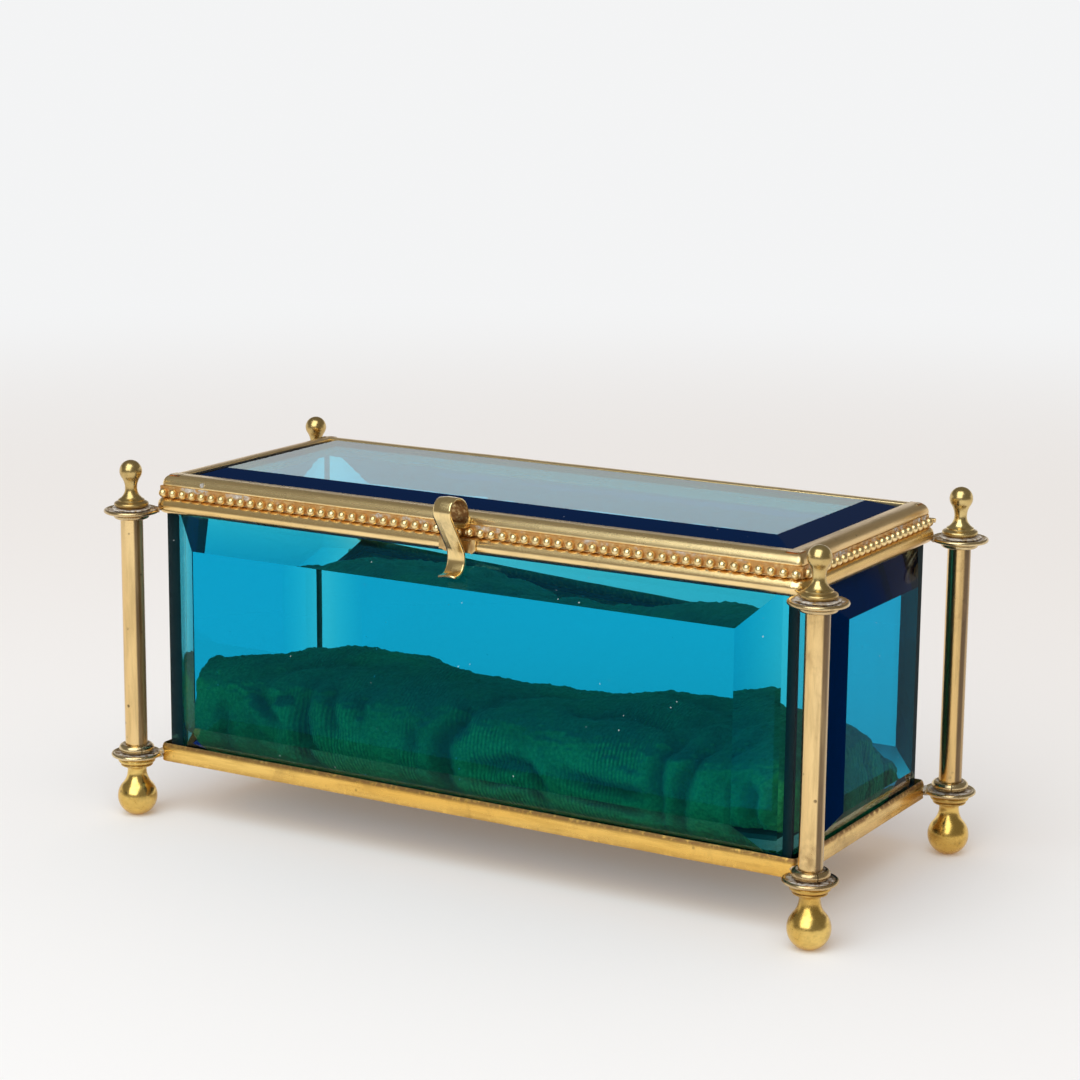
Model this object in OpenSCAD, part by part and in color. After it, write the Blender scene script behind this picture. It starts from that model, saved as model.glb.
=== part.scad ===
// Glass casket: a jewel box of five thick bevelled glass panes in slim brass mouldings, carried by four
// corner columns with ball feet and turned finials. The lid turns on a long hinge at the back and a springy
// brass clasp holds it at the front. A plush cushion lies inside.
// Millimetres. X runs along the front, Y to the back, Z up. The origin is on the table, under the middle.

/* [Glass body] */
// Length of the body over the edges of the side panes
body_length = 173.8; // [140:0.2:240]
// Depth of the body over the edges of the front and back panes
body_depth = 69.4; // [60:0.2:110]
// Height of the four standing panes
pane_height = 66.2; // [50:0.2:110]
// Thickness of a pane along its edge
pane_edge = 3.2; // [2.6:0.1:3.8]
// Gap between neighbouring panes at a mitre, and between glass and metal
glass_gap = 0.1; // [0.05:0.01:0.15]
// How far the middle of the front and back panes stands proud of their edges
long_rise = 6.3; // [4:0.1:7.5]
// Width of the bevel on the front and back panes
long_bevel = 8.6; // [7.8:0.1:11]
// Flat margin outside the bevel at the ends of the front and back panes
long_margin = 3.7; // [2:0.1:6]
// How far the middle of the side panes stands proud of their edges
side_rise = 5.4; // [3:0.1:6.2]
// Width of the bevel along the standing edges of the side panes
side_bevel_y = 11.6; // [6:0.1:14]
// Width of the bevel along the top and bottom of the side panes
side_bevel_z = 8.6; // [7.6:0.1:11]
// Flat margin outside the bevel at the ends of the side panes
side_margin = 3.6; // [2:0.1:6]
// Flat margin below the bevels
margin_bottom = 2.2; // [1.9:0.1:5]
// Flat margin above the bevels
margin_top = 1.8; // [1.6:0.1:5]
// Thickness of the floor glass
floor_glass_t = 3; // [2:0.1:4]
// Gap between the floor glass and the panes
floor_glass_gap = 0.2; // [0.1:0.05:0.5]

/* [Base moulding] */
// Height of the moulding's underside above the table
base_z = 14; // [13.6:0.1:14.4]
// Height of the base moulding
base_h = 4.7; // [3:0.1:5]
// How far its outer face stands outside the glass edge
base_out = 2.1; // [1.9:0.05:2.4]
// Wall of the base moulding
base_wall = 0.7; // [0.5:0.05:0.75]
// Thickness of the flange that the glass stands on
base_flange_t = 0.8; // [0.6:0.05:1.2]
// How far the flange reaches in under the glass
base_flange_in = 6.2; // [5:0.1:10]
// Radius of the moulding's outer corners
base_corner_r = 1.5; // [1.2:0.1:2]

/* [Rim moulding] */
// Radius of the half-round bulge
rim_bulge_r = 2.1; // [1.9:0.05:2.15]
// How far the bulge's centre stands outside the glass edge
rim_bulge_out = 0.5; // [0.4:0.05:0.6]
// Height of the rim's flat top above the bulge's centre
rim_top_rise = 2.15; // [2.1:0.05:2.3]
// Thickness of the flat top over the glass
rim_top_t = 1.2; // [0.8:0.1:1.6]
// How far the flat top reaches outside the glass edge
rim_top_out = 0.9; // [0.6:0.05:1]
// Thickness of the wall inside the glass
rim_wall = 0.8; // [0.5:0.1:1.2]
// Height of the wall inside the glass
rim_wall_h = 3.8; // [3:0.1:6]
// Gap between the inner wall and the glass
rim_wall_gap = 0.2; // [0.1:0.05:0.5]
// Radius of the rim's outer corners
rim_corner_r = 3.5; // [3:0.1:4]

/* [Lid moulding] */
// Gap between the closed lid and the rim
lid_gap = 0.15; // [0.1:0.05:0.25]
// Height of the lid moulding
lid_h = 5.25; // [5:0.05:6.5]
// How far its outer face stands outside the glass edge
lid_out = 1.1; // [1:0.05:1.2]
// How far the recess behind the bead strip stands outside the glass edge
lid_recess_out = 0.4; // [0.3:0.05:0.4]
// Height of that recess
lid_recess_h = 2.55; // [2.4:0.05:2.6]
// How far the lips reach inside the glass edge
lid_lip_in = 3.7; // [3:0.1:5]
// How far the channel between the lips reaches inside the glass edge
lid_channel_in = 2.4; // [1.5:0.1:2.8]
// Thickness of the lower lip
lid_lower_lip = 0.85; // [0.6:0.05:1]
// Thickness of the upper lip
lid_upper_lip = 0.9; // [0.6:0.05:1.2]
// Radius of the rounding along the top outer edge
lid_round = 0.9; // [0.4:0.05:1]
// Radius of the lid's outer corners
lid_corner_r = 1.5; // [1.2:0.1:2]

/* [Lid glass] */
// Thickness of the lid glass along its edge
lid_glass_edge = 2.8; // [2:0.1:3]
// How far the middle of the lid glass stands above its edge
lid_glass_rise = 2.7; // [1:0.1:3]
// Width of the bevel on the lid glass
lid_glass_bevel = 8.3; // [5:0.1:11]

/* [Bead strip] */
// Radius of a bead
bead_r = 1.1; // [0.8:0.02:1.1]
// Distance from bead to bead; each row is spaced evenly at the nearest value
bead_pitch = 3; // [2.5:0.1:4]
// How far the beads' centres stand outside the glass edge
bead_out = 1.6; // [1.5:0.05:1.7]
// Height of the beads' centres above the rim's top
bead_rise = 1; // [1:0.05:1.1]
// Thickness of the strip's web
bead_web_t = 0.7; // [0.4:0.05:0.7]
// Gap between soldered pieces
solder_gap = 0.05; // [0.03:0.01:0.08]

/* [Hinge] */
// Outer radius of a knuckle
knuckle_r = 1.1; // [1:0.02:1.12]
// Radius of the hinge pin
pin_r = 0.57; // [0.45:0.01:0.65]
// Running clearance round the pin
pin_fit = 0.05; // [0.03:0.01:0.08]
// How far the hinge's axis stands outside the glass edge
hinge_out = 1.6; // [1.6:0.05:1.7]
// Number of knuckles, odd so that the body holds both ends
knuckle_count = 5; // [3:2:11]
// Gap between neighbouring knuckles
knuckle_gap = 0.15; // [0.1:0.05:0.4]
// Distance from the hinge's end to the end of the glass body
hinge_inset = 2.9; // [2.5:0.1:12]
// How far the pin stands out at the right end
pin_tail = 5; // [1:0.5:8]
// Width of the saddle under a body knuckle
saddle_w = 1.2; // [0.8:0.1:1.4]

/* [Clasp] */
// Width of the clasp's strip
clasp_w = 4.9; // [3:0.1:8]
// Thickness of the clasp's strip
clasp_t = 0.7; // [0.5:0.05:0.75]
// Place of the clasp's middle along the front
clasp_x = 0.8; // [-20:0.1:20]
// How far the clasp's root stands out from the lid moulding
clasp_root_out = 2.6; // [2.55:0.05:3]
// Height of the root's centre above the lid moulding's underside
clasp_root_rise = 4.55; // [4.5:0.05:4.8]
// Radius of the strip's root, in the middle of its thickness
clasp_root_r = 1.5; // [1.4:0.05:1.55]
// Radius of the roll's back
clasp_back_r = 5.1; // [4.8:0.05:5.6]
// Radius of the roll's front
clasp_front_r = 3; // [2.6:0.05:3.1]
// Length of the straight slope
clasp_slope = 8.9; // [8.5:0.1:9.3]
// Radius of the bend above the hook
clasp_hook_r = 5.1; // [4.6:0.05:5.4]
// Radius of the hook's curl
clasp_curl_r = 3.2; // [2.9:0.05:3.5]
// Running clearance round the root
clasp_fit = 0.1; // [0.05:0.01:0.15]
// Width of the catch plate on the rim
catch_w = 10.2; // [6:0.1:16]
// Height of the catch plate
catch_h = 3.7; // [3:0.1:4.5]
// Thickness of the catch plate
catch_t = 0.6; // [0.4:0.05:0.6]

/* [Columns] */
// Distance of a column's axis from the glass corner along X
column_out_x = 7.1; // [7:0.05:8.5]
// Distance of a column's axis from the glass corner along Y
column_out_y = 5.2; // [5.15:0.05:7]
// Radius of a foot's ball
ball_r = 5; // [4:0.1:5.4]
// Radius of the flat under the ball
ball_flat_r = 1.2; // [0.8:0.1:2]
// Radius of the neck above the ball
foot_neck_r = 2.4; // [2:0.1:3]
// Radius of the neck's hollow curve
foot_cove_r = 5.3; // [5:0.1:5.6]
// Radius of the foot's flange
foot_flange_r = 4.7; // [4:0.1:5.2]
// Thickness of the foot's flange
foot_flange_t = 2.2; // [1.4:0.1:2.4]
// Height of the foot
foot_h = 15.4; // [15:0.1:15.8]
// Radius of the disc under a column
lower_disc_r = 6.4; // [5:0.1:6.4]
// Radius of the disc on top of a column
upper_disc_r = 6.9; // [5.5:0.1:7.2]
// Thickness of the discs
disc_t = 1; // [0.8:0.1:1.3]
// Width of the ear that ties a disc to the moulding
ear_w = 3; // [2:0.1:4]
// Radius of the collars at both ends of a column
collar_r = 4.45; // [3.8:0.05:5]
// Height of the lower collar
lower_collar_h = 2.2; // [1.4:0.1:3]
// Height of the upper collar
upper_collar_h = 1.5; // [1:0.1:2.4]
// Radius of a column's tube
tube_r = 2.8; // [2:0.05:3.2]
// Wall of the tube
tube_wall = 0.6; // [0.4:0.05:0.8]
// Radius of the rod inside a column
rod_r = 0.9; // [0.7:0.05:1]
// Clearance round the rod and between tube and collar
rod_fit = 0.05; // [0.03:0.01:0.08]

/* [Finials] */
// Radius of the washer under a finial
washer_r = 5.4; // [4.5:0.1:5.5]
// Thickness of the washer
washer_t = 0.3; // [0.2:0.05:0.5]
// Radius of the finial's foot
finial_foot_r = 3.6; // [3:0.1:4]
// Height of the finial's foot
finial_foot_h = 0.3; // [0.2:0.05:0.6]
// Radius of the finial's flange
finial_flange_r = 4.35; // [4:0.05:5]
// Thickness of the finial's flange
finial_flange_t = 1.5; // [1:0.1:2]
// Radius of the finial's neck
finial_neck_r = 1.5; // [1.3:0.1:2]
// Height of the neck's thinnest place above the flange
finial_neck_h = 3.1; // [2.8:0.1:3.1]
// Radius of the hollow curve below the neck
finial_lower_cove = 3.2; // [3.1:0.05:3.6]
// Radius of the hollow curve above the neck
finial_upper_cove = 4.8; // [4:0.1:5.6]
// Radius of the finial's ball
finial_ball_r = 2.8; // [2.2:0.1:3.2]

/* [Cushion] */
// Thickness of the cushion's board
board_t = 1.2; // [0.8:0.1:2]
// How far the board stays inside the panes
board_inset = 6; // [4:0.5:12]
// Space between the cushion and the panes
cushion_gap = 0.4; // [0.3:0.05:1.5]
// Space between the cushion and what it lies on
cushion_lift = 0.1; // [0.05:0.05:0.5]
// Height of the cushion along its edge
cushion_edge_h = 9; // [6:0.5:12]
// Height of the cushion's crown
cushion_h = 19; // [13:0.5:22]
// How far the sides draw in between the corners
cushion_draw_in = 1.4; // [0:0.1:3]
// Number of pleats along the front
pleat_count = 13; // [5:1:14]
// Depth of a pleat
pleat_depth = 0.8; // [0:0.1:1.5]

/* [Hidden] */
CORNERS = ["front_left", "front_right", "back_left", "back_right"];
SIDES = ["front", "right", "back", "left"];

brass = [0.79, 0.62, 0.32];
dull_brass = [0.66, 0.52, 0.29];
solder = [0.62, 0.60, 0.55];
blue_glass = [0.05, 0.62, 0.80, 0.55];
plush = [0.10, 0.33, 0.24];

facets = 48;
fine_facets = 96;
far = 400;

half_x = body_length / 2;
half_y = body_depth / 2;
pane_z = base_z + base_flange_t;
pane_top = pane_z + pane_height;
rim_top = pane_top + glass_gap + rim_top_t;
rim_bulge_z = rim_top - rim_top_rise;
rim_out = rim_bulge_out + rim_bulge_r;
lid_z = rim_top + lid_gap;
lid_top = lid_z + lid_h;
lid_recess_z = lid_z + lid_recess_h;
lid_glass_z = lid_z + lid_lower_lip + glass_gap;
bead_z = rim_top + bead_rise;
bead_web_in = lid_recess_out + solder_gap;
bead_web_out = bead_web_in + bead_web_t;
front_row_inset = 0.1;
side_row_inset = 1.1;

// The axis of the lid's hinge
hinge_y = half_y + hinge_out;
hinge_z = bead_z;
hinge_half = half_x - hinge_inset;
knuckle_pitch = 2 * hinge_half / knuckle_count;

// The centre that the clasp turns on
clasp_y = half_y + lid_out + clasp_root_out;
clasp_z = lid_z + clasp_root_rise;

// The axis of a column and the levels on it
column_x = half_x + column_out_x;
column_y = half_y + column_out_y;
lower_disc_z = foot_h;
tube_z = foot_h + disc_t;
upper_disc_z = rim_top - 4.1;
washer_z = upper_disc_z + disc_t;
finial_z = washer_z + washer_t;
finial_flange_z = finial_z + finial_foot_h;
finial_cove_z = finial_flange_z + finial_flange_t;
finial_neck_z = finial_cove_z + finial_neck_h;
rod_bottom = 9;
rod_top = finial_neck_z - 0.9;
rod_bore_r = rod_r + rod_fit;

// The face that the floor glass offers to the cushion
floor_top = pane_z + floor_glass_t;
board_top = floor_top + board_t;

// Half the length of a side along the glass edge, and the distance of that edge from the middle.
// Sides are numbered as in SIDES, a quarter turn apart.
function side_half(side) = side % 2 == 0 ? half_x : half_y;
function side_dist(side) = side % 2 == 0 ? half_y : half_x;

// Turns a child that is built along the front to the named side
module at_side(side) {
    rotate([0, 0, 90 * side]) children();
}

// Puts a child that is built for the back right corner at another corner
module at_corner(corner) {
    left = corner == "front_left" || corner == "back_left";
    front = corner == "front_left" || corner == "front_right";
    mirror([left ? 1 : 0, 0, 0]) mirror([0, front ? 1 : 0, 0])
        translate([column_x, column_y, 0]) children();
}

// Runs a profile along one side of a frame. In the profile X is the distance outside the glass edge and Y
// the height. The outer corners are turned round an axis, and what lies inside that axis is mitred.
module frame_side(side, out, corner_r) {
    axis = out - corner_r;
    half = side_half(side) + axis;
    dist = side_dist(side);
    outer = 8;
    inner = 9;
    at_side(side) {
        intersection() {
            translate([-half, 0, 0]) rotate([90, 0, 90]) linear_extrude(2 * half)
                mirror([1, 0]) translate([dist, 0]) children();
            translate([0, -dist, 0]) linear_extrude(far) polygon([
                [-half + axis - outer, -outer], [half - axis + outer, -outer],
                [half - axis - inner, inner], [-half + axis + inner, inner]
            ]);
        }
        for (end = [[half, -90], [-half, -135]])
            translate([end[0], -dist - axis, 0]) rotate([0, 0, end[1]])
                rotate_extrude(angle = 45, $fn = fine_facets) intersection() {
                    translate([-axis, 0]) children();
                    square([outer, far]);
                }
    }
}

// One standing pane: its upright profile along the side meets its plan, so that the four bevels are mitred
module pane(side, rise, bevel_along, bevel_up, margin) {
    half = side_half(side) - glass_gap / 2;
    dist = side_dist(side);
    z_low = pane_z + margin_bottom;
    z_high = pane_top - margin_top;
    flat = half - margin;
    color(blue_glass) at_side(side) intersection() {
        translate([-half, 0, 0]) rotate([90, 0, 90]) linear_extrude(2 * half)
            mirror([1, 0]) translate([dist, 0]) polygon([
                [-pane_edge, pane_z], [0, pane_z], [0, z_low], [rise, z_low + bevel_up],
                [rise, z_high - bevel_up], [0, z_high], [0, pane_top], [-pane_edge, pane_top]
            ]);
        translate([0, -dist, pane_z - 1]) linear_extrude(pane_height + 2) polygon([
            [-half + pane_edge, pane_edge], [-half, 0], [-flat, 0], [-flat + bevel_along, -rise],
            [flat - bevel_along, -rise], [flat, 0], [half, 0], [half - pane_edge, pane_edge]
        ]);
    }
}

module floor_glass() {
    inset = pane_edge + floor_glass_gap;
    color(blue_glass) translate([-half_x + inset, -half_y + inset, pane_z])
        cube([body_length - 2 * inset, body_depth - 2 * inset, floor_glass_t]);
}

module lid_glass() {
    hx = half_x - lid_channel_in - glass_gap;
    hy = half_y - lid_channel_in - glass_gap;
    color(blue_glass) intersection() {
        translate([0, hy, 0]) rotate([90, 0, 0]) linear_extrude(2 * hy) lid_glass_profile(hx);
        translate([-hx, 0, 0]) rotate([90, 0, 90]) linear_extrude(2 * hx) lid_glass_profile(hy);
    }
}

module lid_glass_profile(half) {
    edge_z = lid_glass_z + lid_glass_edge;
    polygon([
        [-half, lid_glass_z], [half, lid_glass_z], [half, edge_z],
        [half - lid_glass_bevel, edge_z + lid_glass_rise],
        [-half + lid_glass_bevel, edge_z + lid_glass_rise], [-half, edge_z]
    ]);
}

// An angle: an upright wall outside the glass and a flange under it
module base_profile() {
    translate([base_out - base_wall, base_z]) square([base_wall, base_h]);
    translate([-base_flange_in, base_z]) square([base_flange_in + base_out, base_flange_t]);
}

module base_rail(side) {
    color(brass) frame_side(side, base_out, base_corner_r) base_profile();
}

// The room that the glass and its bevel need inside the rim
module rim_glass_room() {
    low = rim_bulge_z - rim_bulge_r - 1;
    slope = long_rise / long_bevel;
    bevel_end = pane_top - margin_top;
    polygon([
        [-pane_edge - rim_wall_gap, low], [glass_gap + slope * (bevel_end - low), low],
        [glass_gap, bevel_end + glass_gap], [glass_gap, pane_top + glass_gap],
        [-pane_edge - rim_wall_gap, pane_top + glass_gap]
    ]);
}

// A half-round bulge, a flat top over the glass and a wall inside it
module rim_profile() {
    inner = pane_edge + rim_wall_gap;
    intersection() {
        translate([rim_bulge_out, rim_bulge_z]) circle(rim_bulge_r, $fn = facets);
        translate([0, rim_top - 8]) square([far, 8]);
    }
    translate([-inner, rim_top - rim_top_t]) square([inner + rim_top_out, rim_top_t]);
    translate([-inner - rim_wall, rim_top - rim_wall_h]) square([rim_wall, rim_wall_h]);
}

module rim_rail(side) {
    reach = side_half(side) + glass_gap;
    color(brass) difference() {
        frame_side(side, rim_out, rim_corner_r) rim_profile();
        at_side(side) translate([-reach, 0, 0]) rotate([90, 0, 90]) linear_extrude(2 * reach)
            mirror([1, 0]) translate([side_dist(side), 0]) rim_glass_room();
    }
}

// A channel that holds the lid glass, with a recess outside for the bead strip
module lid_profile() {
    width = lid_lip_in + lid_out;
    difference() {
        translate([-lid_lip_in, lid_z]) square([width, lid_h]);
        translate([-lid_lip_in - 1, lid_z + lid_lower_lip])
            square([lid_lip_in - lid_channel_in + 1, lid_h - lid_lower_lip - lid_upper_lip]);
        translate([lid_recess_out, lid_z - 1]) square([width, lid_recess_h + 1]);
        difference() {
            translate([lid_out - lid_round, lid_top - lid_round]) square(2 * lid_round);
            translate([lid_out - lid_round, lid_top - lid_round]) circle(lid_round, $fn = facets);
        }
    }
}

module lid_rail(side) {
    color(brass) difference() {
        frame_side(side, lid_out, lid_corner_r) lid_profile();
        if (side == 0) rivet_bore();
    }
}

// A straight web behind and a row of beads in front. The front's web runs over the ends of the side webs
module bead_strip(side) {
    reach = side_half(side) - (side == 0 ? front_row_inset : side_row_inset);
    gaps = round(2 * reach / bead_pitch);
    web_z = rim_top + 0.2;
    web_end = side == 0 ? half_x + bead_web_out : half_y;
    color(brass) at_side(side) union() {
        translate([-web_end, -side_dist(side) - bead_web_out, web_z])
            cube([2 * web_end, bead_web_t, lid_recess_z - web_z]);
        for (i = [0 : gaps])
            translate([(2 * i / gaps - 1) * reach, -side_dist(side) - bead_out, bead_z])
                sphere(bead_r, $fn = 24);
    }
}

// Places a child at the start of each knuckle of one kind: the body holds the even ones, the lid the odd
module at_knuckles(first) {
    for (i = [first : 2 : knuckle_count - 1])
        translate([-hinge_half + i * knuckle_pitch + knuckle_gap / 2, hinge_y, hinge_z]) children();
}

module knuckle_barrel(r) {
    rotate([0, 90, 0]) cylinder(h = knuckle_pitch - knuckle_gap, r = r, $fn = facets);
}

// Barrels on saddles that are soldered to the rim
module hinge_knuckles_body() {
    saddle_drop = 2.2;
    color(dull_brass) difference() {
        at_knuckles(0) difference() {
            union() {
                knuckle_barrel(knuckle_r);
                translate([0, -saddle_w / 2, -saddle_drop])
                    cube([knuckle_pitch - knuckle_gap, saddle_w, saddle_drop - pin_r - pin_fit]);
            }
            translate([-1, 0, 0]) rotate([0, 90, 0])
                cylinder(h = knuckle_pitch + 2, r = pin_r + pin_fit, $fn = facets);
        }
        translate([-far / 2, half_y + rim_bulge_out, rim_bulge_z]) rotate([0, 90, 0])
            cylinder(h = far, r = rim_bulge_r + solder_gap, $fn = facets);
        translate([-far / 2, half_y - 2, rim_top - 4])
            cube([far, 2 + rim_top_out + solder_gap, 4 + solder_gap]);
    }
}

// Barrels on webs that are soldered to the back of the lid moulding
module hinge_knuckles_lid() {
    web_y = half_y + bead_web_in;
    color(dull_brass) at_knuckles(1) difference() {
        union() {
            knuckle_barrel(knuckle_r);
            translate([0, web_y - hinge_y, 0])
                cube([knuckle_pitch - knuckle_gap, bead_web_t, lid_recess_z - solder_gap - hinge_z]);
        }
        translate([-1, 0, 0]) rotate([0, 90, 0])
            cylinder(h = knuckle_pitch + 2, r = pin_r + pin_fit, $fn = facets);
    }
}

module hinge_pin() {
    color(dull_brass) translate([-hinge_half - 0.5, hinge_y, hinge_z]) rotate([0, 90, 0])
        cylinder(h = 2 * hinge_half + 0.5 + pin_tail, r = pin_r, $fn = facets);
}

// Angle at which the root's curve passes into the roll's back, and the back into its front
root_start = -100;
root_end = 0;
back_end = 90.7;
front_end = 214;

// How far the two curves of the hook turn
hook_turn = 42.7;
curl_turn = 100;

// Steps of the strip from its root: radius and signed angle, or zero radius and a length
clasp_steps = [
    [clasp_root_r, root_end - root_start],
    [clasp_back_r, back_end - root_end],
    [clasp_front_r, front_end - back_end],
    [0, clasp_slope],
    [clasp_hook_r, -hook_turn],
    [clasp_curl_r, -curl_turn]
];
clasp_facet = 6;

// Where a step starts: its point and heading, found from the step before it
function clasp_pose(i) = i == 0
    ? [clasp_root_r * [cos(root_start), sin(root_start)], root_start + 90]
    : along(clasp_pose(i - 1), clasp_steps[i - 1], 1);

// The point and heading at a share of a step
function along(pose, step, share) = step[0] == 0
    ? [pose[0] + share * step[1] * [cos(pose[1]), sin(pose[1])], pose[1]]
    : let (a = share * step[1]) [pose[0] + sign(a) * step[0] * [
        sin(pose[1] + a) - sin(pose[1]), cos(pose[1]) - cos(pose[1] + a)
    ], pose[1] + a];

// Points at a distance to the left of the strip's middle line, from root to tip
function clasp_side(offset) = concat(
    [shifted(clasp_pose(0), offset)],
    [for (i = [0 : len(clasp_steps) - 1]) let (step = clasp_steps[i], pose = clasp_pose(i))
        let (n = step[0] == 0 ? 1 : ceil(abs(step[1]) / clasp_facet))
        for (k = [1 : n]) shifted(along(pose, step, step[0] == 0 ? 1 : k / n), offset)]
);
function shifted(pose, offset) = pose[0] + offset * [-sin(pose[1]), cos(pose[1])];

// The strip seen along X, with the root's centre at the origin and the outside to the left
module clasp_outline() {
    last = clasp_side(-clasp_t / 2);
    polygon(concat(clasp_side(clasp_t / 2), [for (i = [len(last) - 1 : -1 : 0]) last[i]]));
}

// Extrudes an outline of Y and Z across the clasp's middle
module across_clasp(width) {
    translate([clasp_x - width / 2, 0, 0]) rotate([90, 0, 90]) linear_extrude(width) children();
}

module clasp() {
    color(brass) across_clasp(clasp_w) translate([-clasp_y, clasp_z]) clasp_outline();
}

// The lump that the clasp's root lies in
module clasp_seat() {
    seat_r = clasp_root_r + clasp_t / 2 + clasp_fit;
    back = half_y + bead_web_out + solder_gap;
    low = bead_z + bead_r + 0.2;
    color(dull_brass) across_clasp(clasp_w - 0.6) difference() {
        translate([-clasp_y - 0.3, low]) square([clasp_y + 0.3 - back, clasp_z - low]);
        translate([-clasp_y, clasp_z]) circle(seat_r, $fn = fine_facets);
    }
}

// The plate that the clasp's hook bears on
module catch_plate() {
    color(dull_brass) translate([clasp_x - 0.4 - catch_w / 2, -half_y - rim_out - catch_t, rim_top - 0.3 - catch_h])
        difference() {
            cube([catch_w, catch_t + 0.9, catch_h]);
            translate([-1, catch_t + rim_bulge_r, catch_h + 0.3 - rim_top_rise]) rotate([0, 90, 0])
                cylinder(h = catch_w + 2, r = rim_bulge_r + solder_gap, $fn = facets);
        }
}

// Centre of the rivet's head on the front of the lid moulding
rivet_x = -half_x + 11.8;
rivet_z = lid_top - 1.5;
rivet_r = 0.55;
rivet_shank = 2.6;

module rivet_bore() {
    translate([rivet_x, -half_y - lid_out - 1, rivet_z]) rotate([-90, 0, 0])
        cylinder(h = 1 + rivet_shank, r = rivet_r + rod_fit, $fn = facets);
}

module lid_rivet() {
    color(solder) translate([rivet_x, -half_y - lid_out - 0.15, rivet_z]) rotate([-90, 0, 0])
        cylinder(h = 0.15 + rivet_shank, r = rivet_r, $fn = facets);
}

// Turns a profile of radius and height about a column's axis, with the tie rod's bore in it
module turned_part(bore_low, bore_high) {
    difference() {
        rotate_extrude($fn = fine_facets) children();
        translate([0, 0, bore_low]) cylinder(h = bore_high - bore_low, r = rod_bore_r, $fn = facets);
    }
}

// A disc of full thickness whose edge is half-round
module round_edge(r, height) {
    square([r - height / 2, height]);
    translate([r - height / 2, height / 2]) circle(height / 2, $fn = facets);
}

// A ball on a small flat, a hollow neck and a flange
module ball_foot() {
    ball_z = sqrt(pow(ball_r, 2) - pow(ball_flat_r, 2));
    cove_x = foot_neck_r + foot_cove_r;
    cove_up = sqrt(pow(ball_r + foot_cove_r, 2) - pow(cove_x, 2));
    touch = ball_r / (ball_r + foot_cove_r);
    flange_z = foot_h - foot_flange_t;
    color(brass) turned_part(rod_bottom - 0.1, foot_h + 1) {
        intersection() {
            translate([0, ball_z]) circle(ball_r, $fn = fine_facets);
            square([ball_r + 1, ball_z + cove_up * touch]);
        }
        difference() {
            translate([0, ball_z + cove_up * touch]) square([cove_x * touch, flange_z - ball_z - cove_up * touch]);
            translate([cove_x, ball_z + cove_up]) circle(foot_cove_r, $fn = fine_facets);
        }
        translate([0, flange_z]) round_edge(foot_flange_r, foot_flange_t);
    }
}

// Distance along X and Y from a column's axis to the axis of a moulding's corner
function to_corner(out, corner_r) = [
    out - corner_r - column_out_x, out - corner_r - column_out_y
];

// A disc with an ear towards the moulding. The children take away the moulding's room
module eared_disc(r, z, target) {
    difference() {
        union() {
            translate([0, 0, z]) cylinder(h = disc_t, r = r, $fn = fine_facets);
            translate([0, 0, z]) rotate([0, 0, atan2(target[1], target[0])])
                translate([0, -ear_w / 2, 0]) cube([norm(target), ear_w, disc_t]);
        }
        translate([0, 0, z - 1]) cylinder(h = disc_t + 2, r = rod_bore_r, $fn = facets);
        translate([target[0], target[1], 0]) children();
    }
}

module lower_disc() {
    target = to_corner(base_out, base_corner_r);
    reach = base_corner_r + solder_gap;
    inner = 20;
    color(brass) eared_disc(lower_disc_r, lower_disc_z, target) translate([0, 0, base_z]) {
        cylinder(h = base_h, r = reach, $fn = facets);
        translate([-inner, -inner, 0]) cube([inner, inner + reach, base_h]);
        translate([-inner, -inner, 0]) cube([inner + reach, inner, base_h]);
    }
}

module upper_disc() {
    target = to_corner(rim_out, rim_corner_r);
    bulge_x = rim_corner_r - rim_bulge_r;
    color(brass) eared_disc(upper_disc_r, upper_disc_z, target)
        rotate_extrude($fn = fine_facets) {
            translate([bulge_x, rim_bulge_z]) intersection() {
                circle(rim_bulge_r + solder_gap, $fn = facets);
                translate([-bulge_x, -far / 2]) square([far, far]);
            }
            translate([0, rim_bulge_z - rim_bulge_r - 1]) square([bulge_x, 2 * rim_bulge_r + 2]);
        }
}

// A ring round the end of a tube
module collar(r, height, z) {
    bore = tube_r + rod_fit;
    rotate_extrude($fn = fine_facets) translate([0, z]) intersection() {
        round_edge(r, height);
        translate([bore, 0]) square([r - bore, height]);
    }
}

module lower_collar() {
    color(brass) collar(collar_r, lower_collar_h, tube_z);
}

module upper_collar() {
    color(brass) collar(collar_r, upper_collar_h, upper_disc_z - upper_collar_h);
}

module column_tube() {
    color(dull_brass) difference() {
        translate([0, 0, tube_z]) cylinder(h = upper_disc_z - tube_z, r = tube_r, $fn = fine_facets);
        translate([0, 0, tube_z - 1])
            cylinder(h = upper_disc_z - tube_z + 2, r = tube_r - tube_wall, $fn = facets);
    }
}

module tie_rod() {
    color(dull_brass) translate([0, 0, rod_bottom]) cylinder(h = rod_top - rod_bottom, r = rod_r, $fn = facets);
}

module finial_washer() {
    color(solder) difference() {
        translate([0, 0, washer_z]) cylinder(h = washer_t, r = washer_r, $fn = fine_facets);
        translate([0, 0, washer_z - 1]) cylinder(h = washer_t + 2, r = rod_bore_r, $fn = facets);
    }
}

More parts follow.
